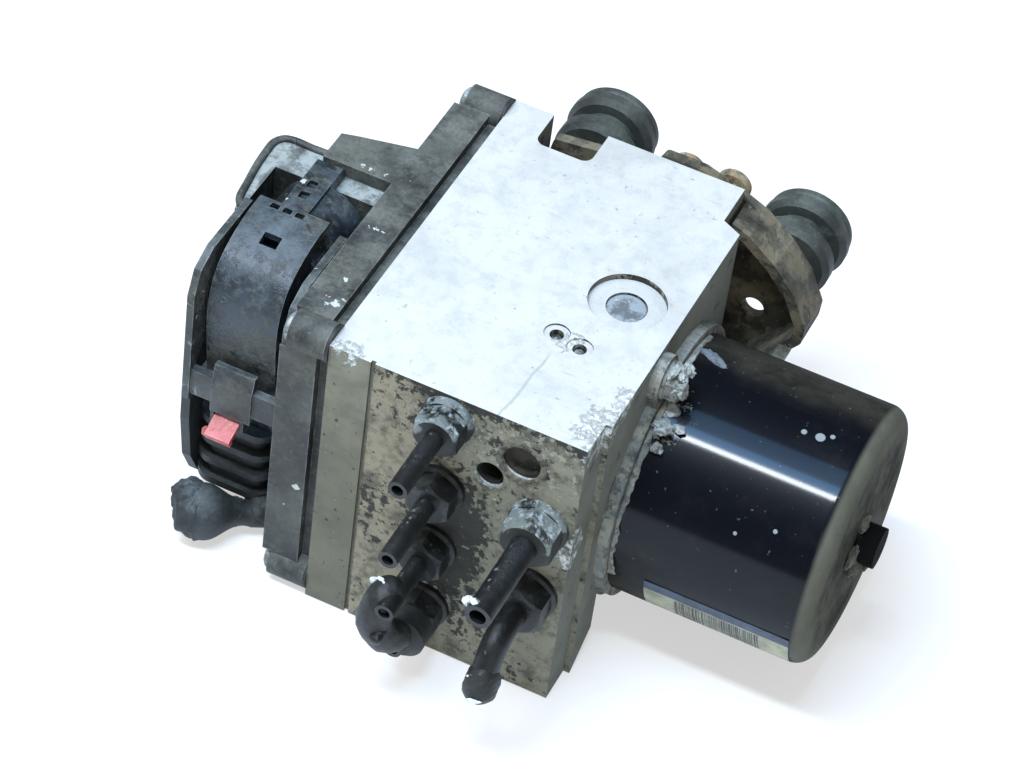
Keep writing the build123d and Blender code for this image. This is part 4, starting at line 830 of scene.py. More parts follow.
@dataclass(frozen=True)
class CanFinish(Finish):
    """Gloss black paint on the motor can: white crust by the flange, dust specks, a rubbed end."""

    paint: Colour = srgb(4, 7, 14)
    brown: Colour = srgb(50, 48, 42)
    crust: Colour = srgb(176, 184, 184)
    end: Colour = srgb(80, 79, 69)
    end_dark: Colour = srgb(44, 42, 35)
    end_ring: Colour = srgb(100, 100, 88)
    hub: Colour = srgb(16, 17, 16)
    spots: Spots = ()
    flange_x: float = 0.0
    end_x: float = 0.0

    def make(self) -> bpy.types.Material:
        """Builds the material.

        Returns:
            The can's paint, with the distance along the axis choosing its wear.
        """
        material, graph, shader = self.start()
        place = graph.place()
        x, _, _ = graph.split(place)
        face_x, face_y, face_z = graph.facing()
        cloud = graph.noise(place, 36.0, 8.0, 0.66)
        edge_y = graph.math("ADD", face_y, graph.times(graph.math("SUBTRACT", cloud, 0.5), 0.5))
        back_top = graph.window(edge_y, 0.0, 0.34)
        low = graph.times(graph.window(face_z, 0.1, -0.6), graph.window(cloud, 0.4, 0.6, 0.3, 0.9))
        dirty = graph.add(back_top, low)
        mottle = graph.window(graph.noise(place, 95.0, 8.0, 0.7), 0.4, 0.66)
        dirt = graph.mix(mottle, self.brown, tuple(0.45 * part for part in self.brown))
        haze = graph.times(graph.window(graph.noise(place, 60.0, 9.0, 0.72), 0.5, 0.72), 0.16)
        colour = graph.mix(haze, self.paint, self.brown)
        colour = graph.mix(dirty, colour, dirt)
        near = graph.window(x, self.flange_x + 0.5 * MM, self.flange_x + 19 * MM, 0.6, 0.1)
        ahead = graph.window(graph.math("ABSOLUTE", graph.math("ADD", face_y, 0.42)), 0.36, 0.12, 0.3, 1.0)
        side = graph.times(graph.window(face_z, -0.2, 0.6, 0.4, 1.0), ahead)
        crust = effect(graph, Effect.CRUST, place, Scale=300.0, Amount=graph.times(near, side))
        colour = graph.mix(graph.times(crust["Mask"], 0.85), colour, self.crust)
        is_end = graph.window(face_x, 0.12, 0.5)
        is_hub = graph.window(x, self.end_x - 5.6 * MM, self.end_x - 4.8 * MM)
        colour = graph.mix(is_end, colour, self.end_colour(graph, place, is_hub))
        colour = graph.mix(is_hub, colour, self.hub)
        speckled = self.speck_mask(graph, place)
        colour = graph.mix(graph.times(speckled, 0.5), colour, self.crust)
        graph.feed(shader.inputs["Base Color"], colour)
        matt = graph.most(graph.most(crust["Mask"], is_end), graph.most(is_hub, speckled))
        rough = graph.blend(dirty, self.roughness, 0.8)
        graph.feed(shader.inputs["Roughness"], graph.most(rough, graph.times(matt, 0.9)))
        graph.feed(shader.inputs["Coat Weight"], graph.times(graph.invert(graph.most(matt, dirty)), self.coat))
        height = graph.math("ADD", crust["Height"], graph.times(graph.noise(place, 30.0, 2.0), 0.03))
        self.relief(graph, shader, height, 0.6, 0.6 * MM)
        return material

    def end_colour(self, graph: Graph, place: Socket, is_hub: Socket) -> Socket:
        """The can's rubbed end: brown clouds, a paler ring that fades in towards the rim, and the dark hub.

        Args:
            graph: the material's graph.
            place: object coordinates.
            is_hub: mask of the hub, which stands out from the end.

        Returns:
            The colour.
        """
        cloud = graph.window(graph.noise(place, 85.0, 9.0, 0.72), 0.34, 0.66)
        end = graph.mix(cloud, self.end, self.end_dark)
        off_axis = graph.away(place, (self.end_x, *CAN_CENTRE), (0.0, 1.0, 1.0))
        ring = graph.window(off_axis, 26 * MM, 36 * MM)
        end = graph.mix(graph.times(ring, 0.6), end, self.end_ring)
        return graph.mix(is_hub, end, self.hub)

    def speck_mask(self, graph: Graph, place: Socket) -> Socket:
        """Pale specks: fine ones all over, larger ones in a few patches, and the listed spots.

        Args:
            graph: the material's graph.
            place: object coordinates.

        Returns:
            A mask.
        """
        fine = graph.window(graph.noise(place, 700.0, 2.0, 0.5), 0.7, 0.78, 0.0, 0.3)
        larger = graph.window(graph.cells(place, 170.0), 0.08, 0.05, 0.0, 0.6)
        few = graph.window(graph.noise(place, 50.0, 3.0), 0.6, 0.66)
        total = graph.most(fine, graph.times(larger, few))
        for centre, reach in self.spots:
            total = graph.most(total, graph.window(graph.away(place, centre), reach, reach * 0.8))
        return total


@dataclass(frozen=True)
class LabelFinish(Finish):
    """A plain worn sticker on the can: a slate strip, beige paper and worn dark bars, all generic."""

    paper: Colour = srgb(168, 166, 138)
    paper_worn: Colour = srgb(116, 116, 98)
    bar: Colour = srgb(14, 18, 24)
    strip: Colour = srgb(62, 76, 98)
    strip_worn: Colour = srgb(38, 46, 60)
    x_ends: tuple[float, float] = (0.0, 1.0)
    angles: tuple[float, float] = (-180.0, 180.0)
    bar_scale: float = 34.0

    def make(self) -> bpy.types.Material:
        """Builds the material.

        Returns:
            The sticker, laid out by the share of its length and the share across it, round the can's axis.
        """
        material, graph, shader = self.start()
        place = graph.place()
        x, y, z = graph.split(place)
        turn = graph.math("ARCTAN2", graph.math("SUBTRACT", z, CAN_CENTRE[1]),
                          graph.math("SUBTRACT", y, CAN_CENTRE[0]))
        low, high = (math.radians(angle) for angle in self.angles)
        across = graph.math("DIVIDE", graph.math("SUBTRACT", turn, low), high - low)
        start, end = self.x_ends
        length = graph.math("DIVIDE", graph.math("SUBTRACT", x, start), end - start)
        bars = graph.node("ShaderNodeTexNoise", noise_dimensions="1D")
        graph.feed(bars.inputs["W"], graph.times(length, self.bar_scale))
        bars.inputs["Detail"].default_value = 0.0
        bar = graph.window(bars.outputs["Fac"], 0.44, 0.48)
        middle = graph.times(graph.window(length, 0.2, 0.215), graph.window(length, 0.8, 0.785))
        inner = graph.times(graph.window(across, 0.24, 0.27), graph.window(across, 0.97, 0.94))
        wear = graph.window(graph.noise(place, 160.0, 8.0, 0.7), 0.36, 0.66)
        colour = graph.mix(graph.times(graph.times(bar, middle), inner),
                           graph.mix(wear, self.paper, self.paper_worn), self.bar)
        colour = graph.mix(graph.window(across, 0.24, 0.21), colour,
                           graph.mix(wear, self.strip, self.strip_worn))
        graph.feed(shader.inputs["Base Color"], colour)
        height = graph.math("ADD", wear, graph.noise(place, 700.0, 3.0))
        self.relief(graph, shader, height, 0.25, 0.2 * MM)
        return material


@dataclass(frozen=True)
class RustyFinish(Finish):
    """Steel with the paint mostly gone: brown rust, grey dirt and pale salts."""

    paint: Colour = srgb(74, 72, 62)
    rust: Colour = srgb(112, 98, 74)
    pale: Colour = srgb(150, 148, 130)
    dark: Colour = srgb(34, 31, 26)
    scale: float = 120.0

    def make(self) -> bpy.types.Material:
        """Builds the material.

        Returns:
            Rust and dirt in three broken layers over dark steel.
        """
        material, graph, shader = self.start()
        place = graph.place()
        rust = effect(graph, Effect.MOTTLE, place, Scale=self.scale, Coverage=0.5, Softness=0.1)["Mask"]
        colour = graph.mix(rust, self.paint, self.rust)
        dark = effect(graph, Effect.MOTTLE, place, Scale=self.scale * 1.7, Coverage=0.4, Softness=0.05)["Mask"]
        colour = graph.mix(graph.times(dark, 0.8), colour, self.dark)
        dust = effect(graph, Effect.DUST, place, Amount=0.75, Everywhere=0.35)["Mask"]
        colour = graph.mix(dust, colour, self.pale)
        crust = effect(graph, Effect.CRUST, place, Scale=self.scale * 3.0, Amount=0.34)
        colour = graph.mix(graph.times(crust["Mask"], 0.8), colour, self.pale)
        graph.feed(shader.inputs["Base Color"], colour)
        height = graph.math("ADD", graph.times(crust["Height"], 1.2), graph.times(rust, 0.5))
        self.relief(graph, shader, height, 0.8, 0.5 * MM)
        return material


@dataclass(frozen=True)
class FittingFinish(Finish):
    """Plated tube nuts: dull zinc with white bloom and black grime, plus painted shade: faces turned down get more
    grime and less bloom.
    """

    zinc: Colour = srgb(96, 101, 100)
    bloom: Colour = srgb(186, 196, 196)
    grime: Colour = srgb(30, 32, 30)
    bloom_amount: float = 0.5
    grime_amount: float = 0.45
    # Strength of the painted shade on faces turned down: more black grime and less white bloom there.
    under: float = 0.0

    def make(self) -> bpy.types.Material:
        """Builds the material.

        Returns:
            Zinc, grime with painted shade on faces turned down, and white bloom with its relief.
        """
        material, graph, shader = self.start()
        place = graph.place()
        _, _, up = graph.facing()
        # Painted shade: faces turned down get more black grime here and less white bloom below.
        under = graph.window(up, 0.35, -0.25, 0.0, self.under)
        grime = effect(graph, Effect.MOTTLE, place, Scale=170.0, Coverage=graph.add(under, self.grime_amount),
                       Softness=0.1)["Mask"]
        colour = graph.mix(grime, self.zinc, self.grime)
        lit = graph.window(up, -0.3, 0.5, self.bloom_amount - 0.8 * self.under, self.bloom_amount)
        crust = effect(graph, Effect.CRUST, place, Scale=420.0, Amount=lit)
        colour = graph.mix(graph.times(crust["Mask"], 0.85), colour, self.bloom)
        graph.feed(shader.inputs["Base Color"], colour)
        graph.feed(shader.inputs["Roughness"], graph.blend(crust["Mask"], self.roughness, 0.9))
        self.relief(graph, shader, crust["Height"], 0.7, 0.5 * MM)
        return material


@dataclass(frozen=True)
class RubberFinish(Finish):
    """Old rubber: near black, with grey dust in the grooves and on what faces up, and pale flecks that are partly
    flakes and partly painted highlights on the side facing the key lamp.
    """

    base: Colour = srgb(34, 36, 35)
    dust: Colour = srgb(124, 130, 122)
    dust_amount: float = 0.7
    # Strength of the pale flecks on the side facing the key lamp: flakes and painted highlights together.
    flecks: float = 0.0
    everywhere: float = 0.35
    grime: float = 0.32

    def make(self) -> bpy.types.Material:
        """Builds the material.

        Returns:
            The rubber with clouds of dust over a fine grain.
        """
        material, graph, shader = self.start()
        place = graph.place()
        dust = effect(graph, Effect.DUST, place, Amount=self.dust_amount, Everywhere=self.everywhere)["Mask"]
        grime = graph.window(graph.noise(place, 90.0, 8.0, 0.7), 0.5, 0.72)
        colour = graph.mix(dust, self.base, self.dust)
        colour = graph.mix(graph.times(grime, self.grime), colour, self.dust)
        if self.flecks:
            # Pale flecks only on faces turned up and towards the key lamp: flakes and painted highlights together.
            face_x, _, face_z = graph.facing()
            side = graph.times(graph.window(graph.math("ADD", face_x, 0.5), 0.5, 0.2), graph.window(face_z, 0.3, 0.6))
            fine = graph.window(graph.noise(place, 560.0, 6.0, 0.7), 0.56, 0.64)
            flakes_and_highlights = graph.times(fine, graph.window(graph.noise(place, 160.0), 0.46, 0.6))
            colour = graph.mix(graph.times(graph.times(flakes_and_highlights, side), self.flecks), colour, srgb(150, 157, 160))
        graph.feed(shader.inputs["Base Color"], colour)
        height = graph.math("ADD", graph.noise(place, 420.0, 6.0, 0.7), graph.times(grime, 0.6))
        self.relief(graph, shader, height, 0.5, 0.5 * MM)
        return material


@dataclass(frozen=True)
class PlainMetal(Finish):
    """Clean inner metal with fine turning marks, for pieces that are closed in."""

    colour: Colour = srgb(150, 152, 152)

    def make(self) -> bpy.types.Material:
        """Builds the material.

        Returns:
            Metal with a faint colour drift and fine bump.
        """
        material, graph, shader = self.start()
        place = graph.place()
        drift = graph.window(graph.noise(place, 120.0, 5.0), 0.3, 0.7)
        darker = tuple(0.6 * part for part in self.colour)
        graph.feed(shader.inputs["Base Color"], graph.mix(drift, self.colour, darker))
        self.relief(graph, shader, graph.noise(place, 1800.0, 2.0), 0.15, 0.3 * MM)
        return material


# ------------------------------------------------------------------ mesh helper
# Points from pole to pole and round a lump, and round a hose.
LUMP_GRID = (33, 48)
HOSE_SIDES = 40


def grid_mesh(name: str, points: np.ndarray, wrap_u: bool = False, wrap_v: bool = False,
              flip: bool = False) -> bpy.types.Object:
    """Makes an object from a grid of points.

    Quads join point (i, j) to (i+1, j+1). A wrapped direction joins its last row to its first.

    Args:
        name: the object's name.
        points: array of shape (u, v, 3), in metres.
        wrap_u: whether the first axis closes on itself.
        wrap_v: whether the second axis closes on itself.
        flip: turns the faces over.

    Returns:
        The linked object, shaded smooth.
    """
    rows, columns = points.shape[:2]
    u = np.arange(rows if wrap_u else rows - 1)
    v = np.arange(columns if wrap_v else columns - 1)
    first, second = np.meshgrid(u, v, indexing="ij")
    after_u, after_v = (first + 1) % rows, (second + 1) % columns
    corners = np.stack([first * columns + second, after_u * columns + second,
                        after_u * columns + after_v, first * columns + after_v], axis=-1).reshape(-1, 4)
    if flip:
        corners = corners[:, ::-1]
    return faces_object(name, points.reshape(-1, 3), corners.tolist(), smooth=True)


def faces_object(name: str, vertices: np.ndarray, faces: Sequence[Sequence[int]], smooth: bool) -> bpy.types.Object:
    """Makes an object from vertices and faces.

    Args:
        name: the object's name.
        vertices: array of shape (count, 3), in metres.
        faces: each face's corners, as numbers of vertices.
        smooth: whether it is shaded smooth.

    Returns:
        The linked object.
    """
    mesh = bpy.data.meshes.new(name)
    mesh.from_pydata(vertices.tolist(), [], faces)
    mesh.polygons.foreach_set("use_smooth", np.full(len(mesh.polygons), smooth))
    mesh.validate()
    mesh.update()
    made = bpy.data.objects.new(name, mesh)
    bpy.context.scene.collection.objects.link(made)
    return made


def close_up(made: bpy.types.Object) -> bpy.types.Object:
    """Merges a closed surface's doubled points at its poles and turns its faces outwards.

    Args:
        made: the object, whose surface is closed.

    Returns:
        The same object.
    """
    shape = bmesh.new()
    shape.from_mesh(made.data)
    bmesh.ops.remove_doubles(shape, verts=shape.verts, dist=1e-6)
    bmesh.ops.recalc_face_normals(shape, faces=shape.faces)
    shape.to_mesh(made.data)
    shape.free()
    return made


def lump(name: str, centre: Point, radii: Point, seed: int, rough: float = 0.3, turn: float = 0.0,
         size: float = 0.7) -> bpy.types.Object:
    """A closed lump: an ellipsoid whose radius is scaled by 1 + rough * wobble of the direction.

    Args:
        name: the piece's name.
        centre: its middle, in metres.
        radii: its three half sizes in millimetres.
        seed: changes the lumps.
        rough: how uneven it is.
        turn: degrees about the vertical.
        size: the size of the unevenness, as a share of the radius.

    Returns:
        The lump.
    """
    down, sides = LUMP_GRID
    polar, round_it = np.meshgrid(np.linspace(0, math.pi, down),
                                  np.linspace(0, 2 * math.pi, sides, endpoint=False), indexing="ij")
    unit = np.stack([np.sin(polar) * np.cos(round_it), np.sin(polar) * np.sin(round_it), np.cos(polar)], axis=-1)
    points = unit * np.array(radii) * MM * (1 + rough * wobble(unit, size, seed))[..., None]
    sine, cosine = math.sin(math.radians(turn)), math.cos(math.radians(turn))
    points = points @ np.array([[cosine, sine, 0], [-sine, cosine, 0], [0, 0, 1]]) + np.array(centre)
    return close_up(grid_mesh(name, points, wrap_v=True))


def smooth_path(knots: Sequence[Point], count: int) -> tuple[np.ndarray, np.ndarray]:
    """A Catmull-Rom curve through points.

    Between two knots a cubic runs whose slope at each knot is half the step from the knot before to the knot after.

    Args:
        knots: the points, in metres.
        count: how many places it gives.

    Returns:
        The places and the unit directions there, an array of shape (count, 3) each.
    """
    given = np.array(knots)
    padded = np.concatenate([2 * given[:1] - given[1:2], given, 2 * given[-1:] - given[-2:-1]])
    along = np.linspace(0, len(given) - 1.000001, count)
    index, part = along.astype(int), (along % 1.0)[:, None]
    before, first, second, after = (padded[index + step] for step in range(4))
    places = 0.5 * (2 * first + (second - before) * part + (2 * before - 5 * first + 4 * second - after) * part ** 2
                    + (3 * first - before - 3 * second + after) * part ** 3)
    runs = np.gradient(places, axis=0)
    return places, runs / np.linalg.norm(runs, axis=1, keepdims=True)


def hose(name: str, knots: Sequence[Point], radius: float, seed: int, rough: float = 0.08,
         end_share: float = 0.08, count: int = 120) -> bpy.types.Object:
    """A closed round sleeve: a circle carried along a smooth path, with rounded ends and an uneven skin.

    Its radius is the given one * a quarter circle's height over each end * (1 + rough * wobble).

    Args:
        name: the piece's name.
        knots: the path's points, in metres.
        radius: its radius in millimetres.
        seed: changes the unevenness.
        rough: how uneven its skin is.
        end_share: the share of its length that each end is rounded over.
        count: rings along it.

    Returns:
        The sleeve.
    """
    places, runs = smooth_path(knots, count)
    side = np.cross(runs, np.array([1.0, 0.02, 0.01]))
    side /= np.linalg.norm(side, axis=1, keepdims=True)
    other = np.cross(runs, side)
    share = np.linspace(0, 1, count)
    close = np.clip(np.minimum(share, 1 - share) / end_share, 0, 1)
    turn = np.linspace(0, 2 * math.pi, HOSE_SIDES, endpoint=False)
    skin = np.sqrt(1 - (1 - close) ** 2)[:, None]
    spread = side[:, None, :] * np.cos(turn)[None, :, None] + other[:, None, :] * np.sin(turn)[None, :, None]
    uneven = 1 + rough * wobble(places[:, None, :] * 120 + spread, 1.0, seed)
    points = places[:, None, :] + spread * (skin * uneven * radius * MM)[..., None]
    return close_up(grid_mesh(name, points, wrap_v=True))


def plate(name: str, outline: Outline, low: float, high: float) -> bpy.types.Object:
    """A flat plate: its outline in Y and Z, once at each end in X, with a face between each two neighbours.

    Args:
        name: the piece's name.
        outline: its corners in Y and Z, in millimetres from the block's front left foot.
        low: its lower X, in millimetres from there.
        high: its higher X, in millimetres from there.

    Returns:
        The plate.
    """
    corners = np.array(outline)
    count = len(corners)
    rings = [np.column_stack([np.full(count, x), corners]) for x in (low, high)]
    vertices = np.vstack(rings) * MM + np.array(at(0.0, 0.0, 0.0))
    first = np.arange(count)
    second = (first + 1) % count
    sides = np.column_stack([first, second, second + count, first + count]).tolist()
    ends = [first[::-1].tolist(), (first + count).tolist()]
    return close_up(faces_object(name, vertices, sides + ends, smooth=False))


def wobble(points: np.ndarray, size: float, seed: int) -> np.ndarray:
    """Smooth pseudo-noise of about -1 to 1, from sines at random directions and phases.

    Each of five octaves is a product of three sines, 1.9 times as fine and 0.62 times as strong as the last.

    Args:
        points: array whose last axis is X, Y and Z.
        size: the size of its largest waves, in units of the points.
        seed: chooses the directions and phases.

    Returns:
        One value a point.
    """
    random = np.random.default_rng(seed)
    total = np.zeros(points.shape[:-1])
    for octave in range(5):
        direction = random.normal(size=(3, 3)) / size * 1.9 ** octave
        phase = random.uniform(0, 2 * math.pi, 3)
        total += np.sin(points @ direction.T + phase).prod(axis=-1) * 0.62 ** octave
    return total


def dress(names: Iterable[str], material: bpy.types.Material) -> None:
    """Gives CAD nodes a finish.

    Args:
        names: the nodes to dress.
        material: replaces what every slot of theirs holds.
    """
    for name in names:
        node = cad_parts[name]
        if not node.material_slots:
            node.data.materials.append(material)
        for place in node.material_slots:
            place.material = material
        LOG.info("dressed %s with %s", name, material.name)


def settle(piece: bpy.types.Object, material: bpy.types.Material, body: str) -> None:
    """Finishes a new piece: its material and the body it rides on.

    Args:
        piece: the new piece.
        material: what it is made of.
        body: the body that it rides on.
    """
    piece.data.materials.append(material)
    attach(piece, body)
    LOG.info("made %s on %s", piece.name, body)


def scatter(stem: str, lumps: Lumps, seed: int, rough: float, material: bpy.types.Material, body: str,
            size: float = 0.7) -> None:
    """Makes a numbered set of lumps.

    Args:
        stem: their name without the number.
        lumps: each one's middle and half sizes in millimetres, and its turn in degrees.
        seed: the first one's seed; each next one has the next.
        rough: how uneven they are.
        material: what they are made of.
        body: the body that they ride on.
        size: the size of the unevenness, as a share of the radius.
    """
    for number, (centre, radii, turn) in enumerate(lumps):
        made = lump(f"{stem}_{number + 1}", at(*centre), radii, seed + number, rough, turn, size)
        settle(made, material, body)


# ------------------------------------------------------------------ sub-assemblies
@dataclass
class ValveBlock:
    """The machined block with its plugs, corrosion beads and the thread in its open hole."""

    plug_centre: Point = at(57.9, 0.0, 85.1)
    hole_centre: Point = at(49.5, 0.0, 76.3)
    hole_radius: float = 4.0 * MM
    thread_run: tuple[float, float] = (0.4 * MM, 12.8 * MM)
    thread_pitch: float = 1.25 * MM
    thread_depth: float = 0.55 * MM
    thread_gap: float = 0.12 * MM
    thread_grid: tuple[int, int] = (49, 150)
    plug_bead: tuple[float, float] = (6.4 * MM, 1.9 * MM)
    hole_bead: tuple[float, float] = (4.2 * MM, 0.9 * MM)
    hole_bead_angles: tuple[float, float] = (188.0, 340.0)
    bead_height: float = 0.9 * MM
    bead_sink: float = 0.05 * MM
    bead_grid: tuple[int, int] = (120, 17)
    crust_spots: Spots = (
        (plug_centre, 13 * MM), (at(35.8, 0, 89.9), 13 * MM), (at(65.3, 0, 65.6), 15 * MM),
        (at(35.8, 0, 17.3), 14 * MM), (at(77, 8, 98), 16 * MM), (at(77, 0, 60), 15 * MM),
        (at(77, 22, 98), 9 * MM), (at(5, 0, 98), 8 * MM), (at(1, 4, 60), 7 * MM), (at(54, 35, 98.6), 7 * MM))

    def build(self) -> None:
        """Dresses the block and its plugs and adds the small pieces."""
        metal = BlockFinish("corroded_aluminium", crust_spots=self.crust_spots).make()
        dress(["hydraulic_block"], metal)
        plug = FittingFinish("pressed_plug", roughness=0.5, metallic=0.3, zinc=srgb(150, 160, 166),
                             bloom=srgb(196, 204, 206), grime=srgb(104, 110, 112), bloom_amount=0.36).make()
        dress(["pump_plug_upper", "pump_plug_lower"], plug)
        ring = FittingFinish("eaten_plug", roughness=0.9, zinc=srgb(58, 56, 48), bloom=srgb(120, 118, 104),
                             grime=srgb(34, 32, 27), bloom_amount=0.38).make()
        dress(["front_port_plug"], ring)
        balls = FittingFinish("ball_plug", roughness=0.4, metallic=0.6, zinc=srgb(120, 124, 122),
                              grime_amount=0.2).make()
        dress(["ball_plugs"], balls)
        salts = RustyFinish("white_salts", roughness=0.95, paint=srgb(140, 146, 142), rust=srgb(112, 114, 106),
                            pale=srgb(196, 201, 197), dark=srgb(64, 64, 58), scale=260.0).make()
        eaten = RustyFinish("eaten_rim", roughness=0.95, paint=srgb(96, 92, 78), rust=srgb(84, 78, 64),
                            pale=srgb(150, 148, 132), dark=srgb(34, 32, 26), scale=240.0).make()
        # The thread is near black: painted shade inside the open hole.
        self.thread(PlainMetal("hole_shadow", roughness=0.9, colour=srgb(20, 20, 18)).make())
        settle(self.crust_ring("plug_crust", self.plug_centre, *self.plug_bead, 0.0, 2 * math.pi, 5),
               eaten, "base")
        start, end = (math.radians(angle) for angle in self.hole_bead_angles)
        settle(self.crust_ring("hole_crescent", self.hole_centre, *self.hole_bead, start, end, 8), salts,
               "base")

    def thread(self, metal: bpy.types.Material) -> None:
        """Lines the open hole with a thread.

        Radius = hole radius - gap - depth * triangle wave of (length / pitch - turn), so that the crest is a helix.

        Args:
            metal: its material, near black as painted shade inside the hole.
        """
        round_it, deep = self.thread_grid
        turns = np.linspace(0, 2 * math.pi, round_it)
        along = np.linspace(*self.thread_run, deep)
        angle, length = np.meshgrid(turns, along, indexing="ij")
        phase = (length / self.thread_pitch - angle / (2 * math.pi)) % 1.0
        radius = self.hole_radius - self.thread_gap - self.thread_depth * (1 - np.abs(2 * phase - 1))
        points = np.stack([self.hole_centre[0] + radius * np.cos(angle), FRONT + length,
                           self.hole_centre[2] + radius * np.sin(angle)], axis=-1)
        settle(grid_mesh("hole_thread", points, flip=True), metal, "base")

    def crust_ring(self, name: str, centre: Point, radius: float, width: float, start: float, end: float,
                   seed: int) -> bpy.types.Object:
        """A lumpy bead of corrosion lying on the port face.

        A half-round section of the given width sweeps an arc; wobble changes its width and height, and the
        ends of an open arc thin out.

        Args:
            name: the piece's name.
            centre: the arc's centre on the face.
            radius: the arc's radius.
            width: the bead's full width.
            start: first angle, in radians.
            end: last angle, in radians.
            seed: changes the lumps.

        Returns:
            The bead.
        """
        sweep = np.linspace(start, end, self.bead_grid[0])
        section = np.linspace(0, math.pi, self.bead_grid[1])
        along, across = np.meshgrid(sweep, section, indexing="ij")
        bend = wobble(np.stack([np.cos(along), np.sin(along), across * 0.2], axis=-1), 0.35, seed)
        is_open = end - start < 6
        taper = np.clip(np.minimum(along - start, end - along) * 6 + 0.02, 0, 1) if is_open else 1.0
        half = width / 2 * (1 + 0.45 * bend) * taper
        reach = radius + half * np.cos(across) + width * 0.12 * bend
        height = self.bead_height * np.sin(across) * (0.55 + 0.5 * np.abs(bend)) * taper - self.bead_sink
        points = np.stack([centre[0] + reach * np.cos(along), FRONT - height,
                           centre[2] + reach * np.sin(along)], axis=-1)
        return grid_mesh(name, points, flip=True)


@dataclass
class TubeFittings:
    """Nuts, cut tubes and the rubber boot on the port face."""

    cut_silver: Colour = srgb(226, 232, 234)
    elbow_radius: float = 4.9
    elbow: tuple[Point, ...] = (
        at(35.8, -17, 41), at(33.0, -23, 39.5), at(31.6, -25, 32.5), at(34.0, -23, 25.5), at(37.6, -15, 20.0))
    tip_radius: float = 1.7
    tip: tuple[Point, ...] = (at(34.4, -25, 31.5), at(34.6, -31, 30.0))
    bulb_radius: float = 4.7
    bulb: tuple[Point, ...] = (at(65.3, -24, 34.0), at(65.4, -28, 29.0), at(65.6, -31, 24.0))
    flakes: Lumps = (
        ((29.6, -20.5, 42.0), (2.3, 0.8, 1.1), 20.0), ((31.4, -21.5, 44.2), (1.5, 0.6, 0.8), -30.0),
        ((61.0, -35.5, 67.4), (1.0, 1.3, 0.9), 10.0), ((63.4, -36.6, 69.2), (0.9, 1.2, 0.7), 40.0),
        ((62.8, -29.8, 30.4), (0.8, 0.5, 2.2), 0.0), ((66.0, -33.6, 27.6), (1.6, 0.4, 0.7), 15.0))

    def build(self) -> None:
        """Dresses the nuts and tubes and adds bright cut ends and flakes."""
        pale = FittingFinish("bloomed_nut", roughness=0.55, metallic=0.25, zinc=srgb(112, 120, 118),
                             bloom=srgb(172, 182, 182), bloom_amount=0.48, grime_amount=0.4, under=0.8,
                             grime=srgb(26, 29, 28)).make()
        dark = FittingFinish("black_nut", roughness=0.42, metallic=0.2, zinc=srgb(44, 49, 49),
                             bloom=srgb(110, 116, 112), bloom_amount=0.3, grime_amount=0.6,
                             grime=srgb(18, 20, 19)).make()
        dome = FittingFinish("domed_nut", roughness=0.7, metallic=0.2, zinc=srgb(106, 112, 107),
                             bloom=srgb(168, 178, 178), bloom_amount=0.52, grime_amount=0.42, under=0.8,
                             grime=srgb(40, 42, 38)).make()
        dress(["brake_nut_1"], pale)
        dress(["brake_nut_2", "brake_nut_3", "brake_nut_4", "supply_nut_2"], dark)
        dress(["supply_nut_1"], dome)
        # The sleeves' pale flecks are partly painted highlights on their side facing the key lamp.
        sleeve = RubberFinish("tube_sleeve", roughness=0.42, base=srgb(8, 9, 9), dust=srgb(60, 65, 65),
                              dust_amount=0.3, everywhere=0.08, grime=0.16, flecks=0.7).make()
        dress(["brake_tube_1", "brake_tube_2", "brake_tube_3", "brake_tube_4", "supply_tube_1",
               "supply_tube_2"], sleeve)
        boot = RubberFinish("tube_boot_rubber", roughness=0.5, base=srgb(16, 18, 17), dust=srgb(74, 78, 76),
                            dust_amount=0.4, everywhere=0.1, grime=0.2).make()
        dress(["tube_boot"], boot)
        silver = FittingFinish("cut_silver", roughness=0.35, metallic=0.3, zinc=self.cut_silver,
                               bloom=srgb(240, 244, 244), grime_amount=0.0).make()
        settle(hose("elbow_sleeve", self.elbow, self.elbow_radius, 11, rough=0.09, end_share=0.16), boot,
               "base")
        settle(hose("elbow_tip", self.tip, self.tip_radius, 4, rough=0.1, end_share=0.2, count=40), sleeve,
               "base")
        settle(hose("supply_bulb", self.bulb, self.bulb_radius, 17, rough=0.1, end_share=0.4), boot, "base")
        scatter("cut_flake", self.flakes, 30, 0.4, silver, "base")


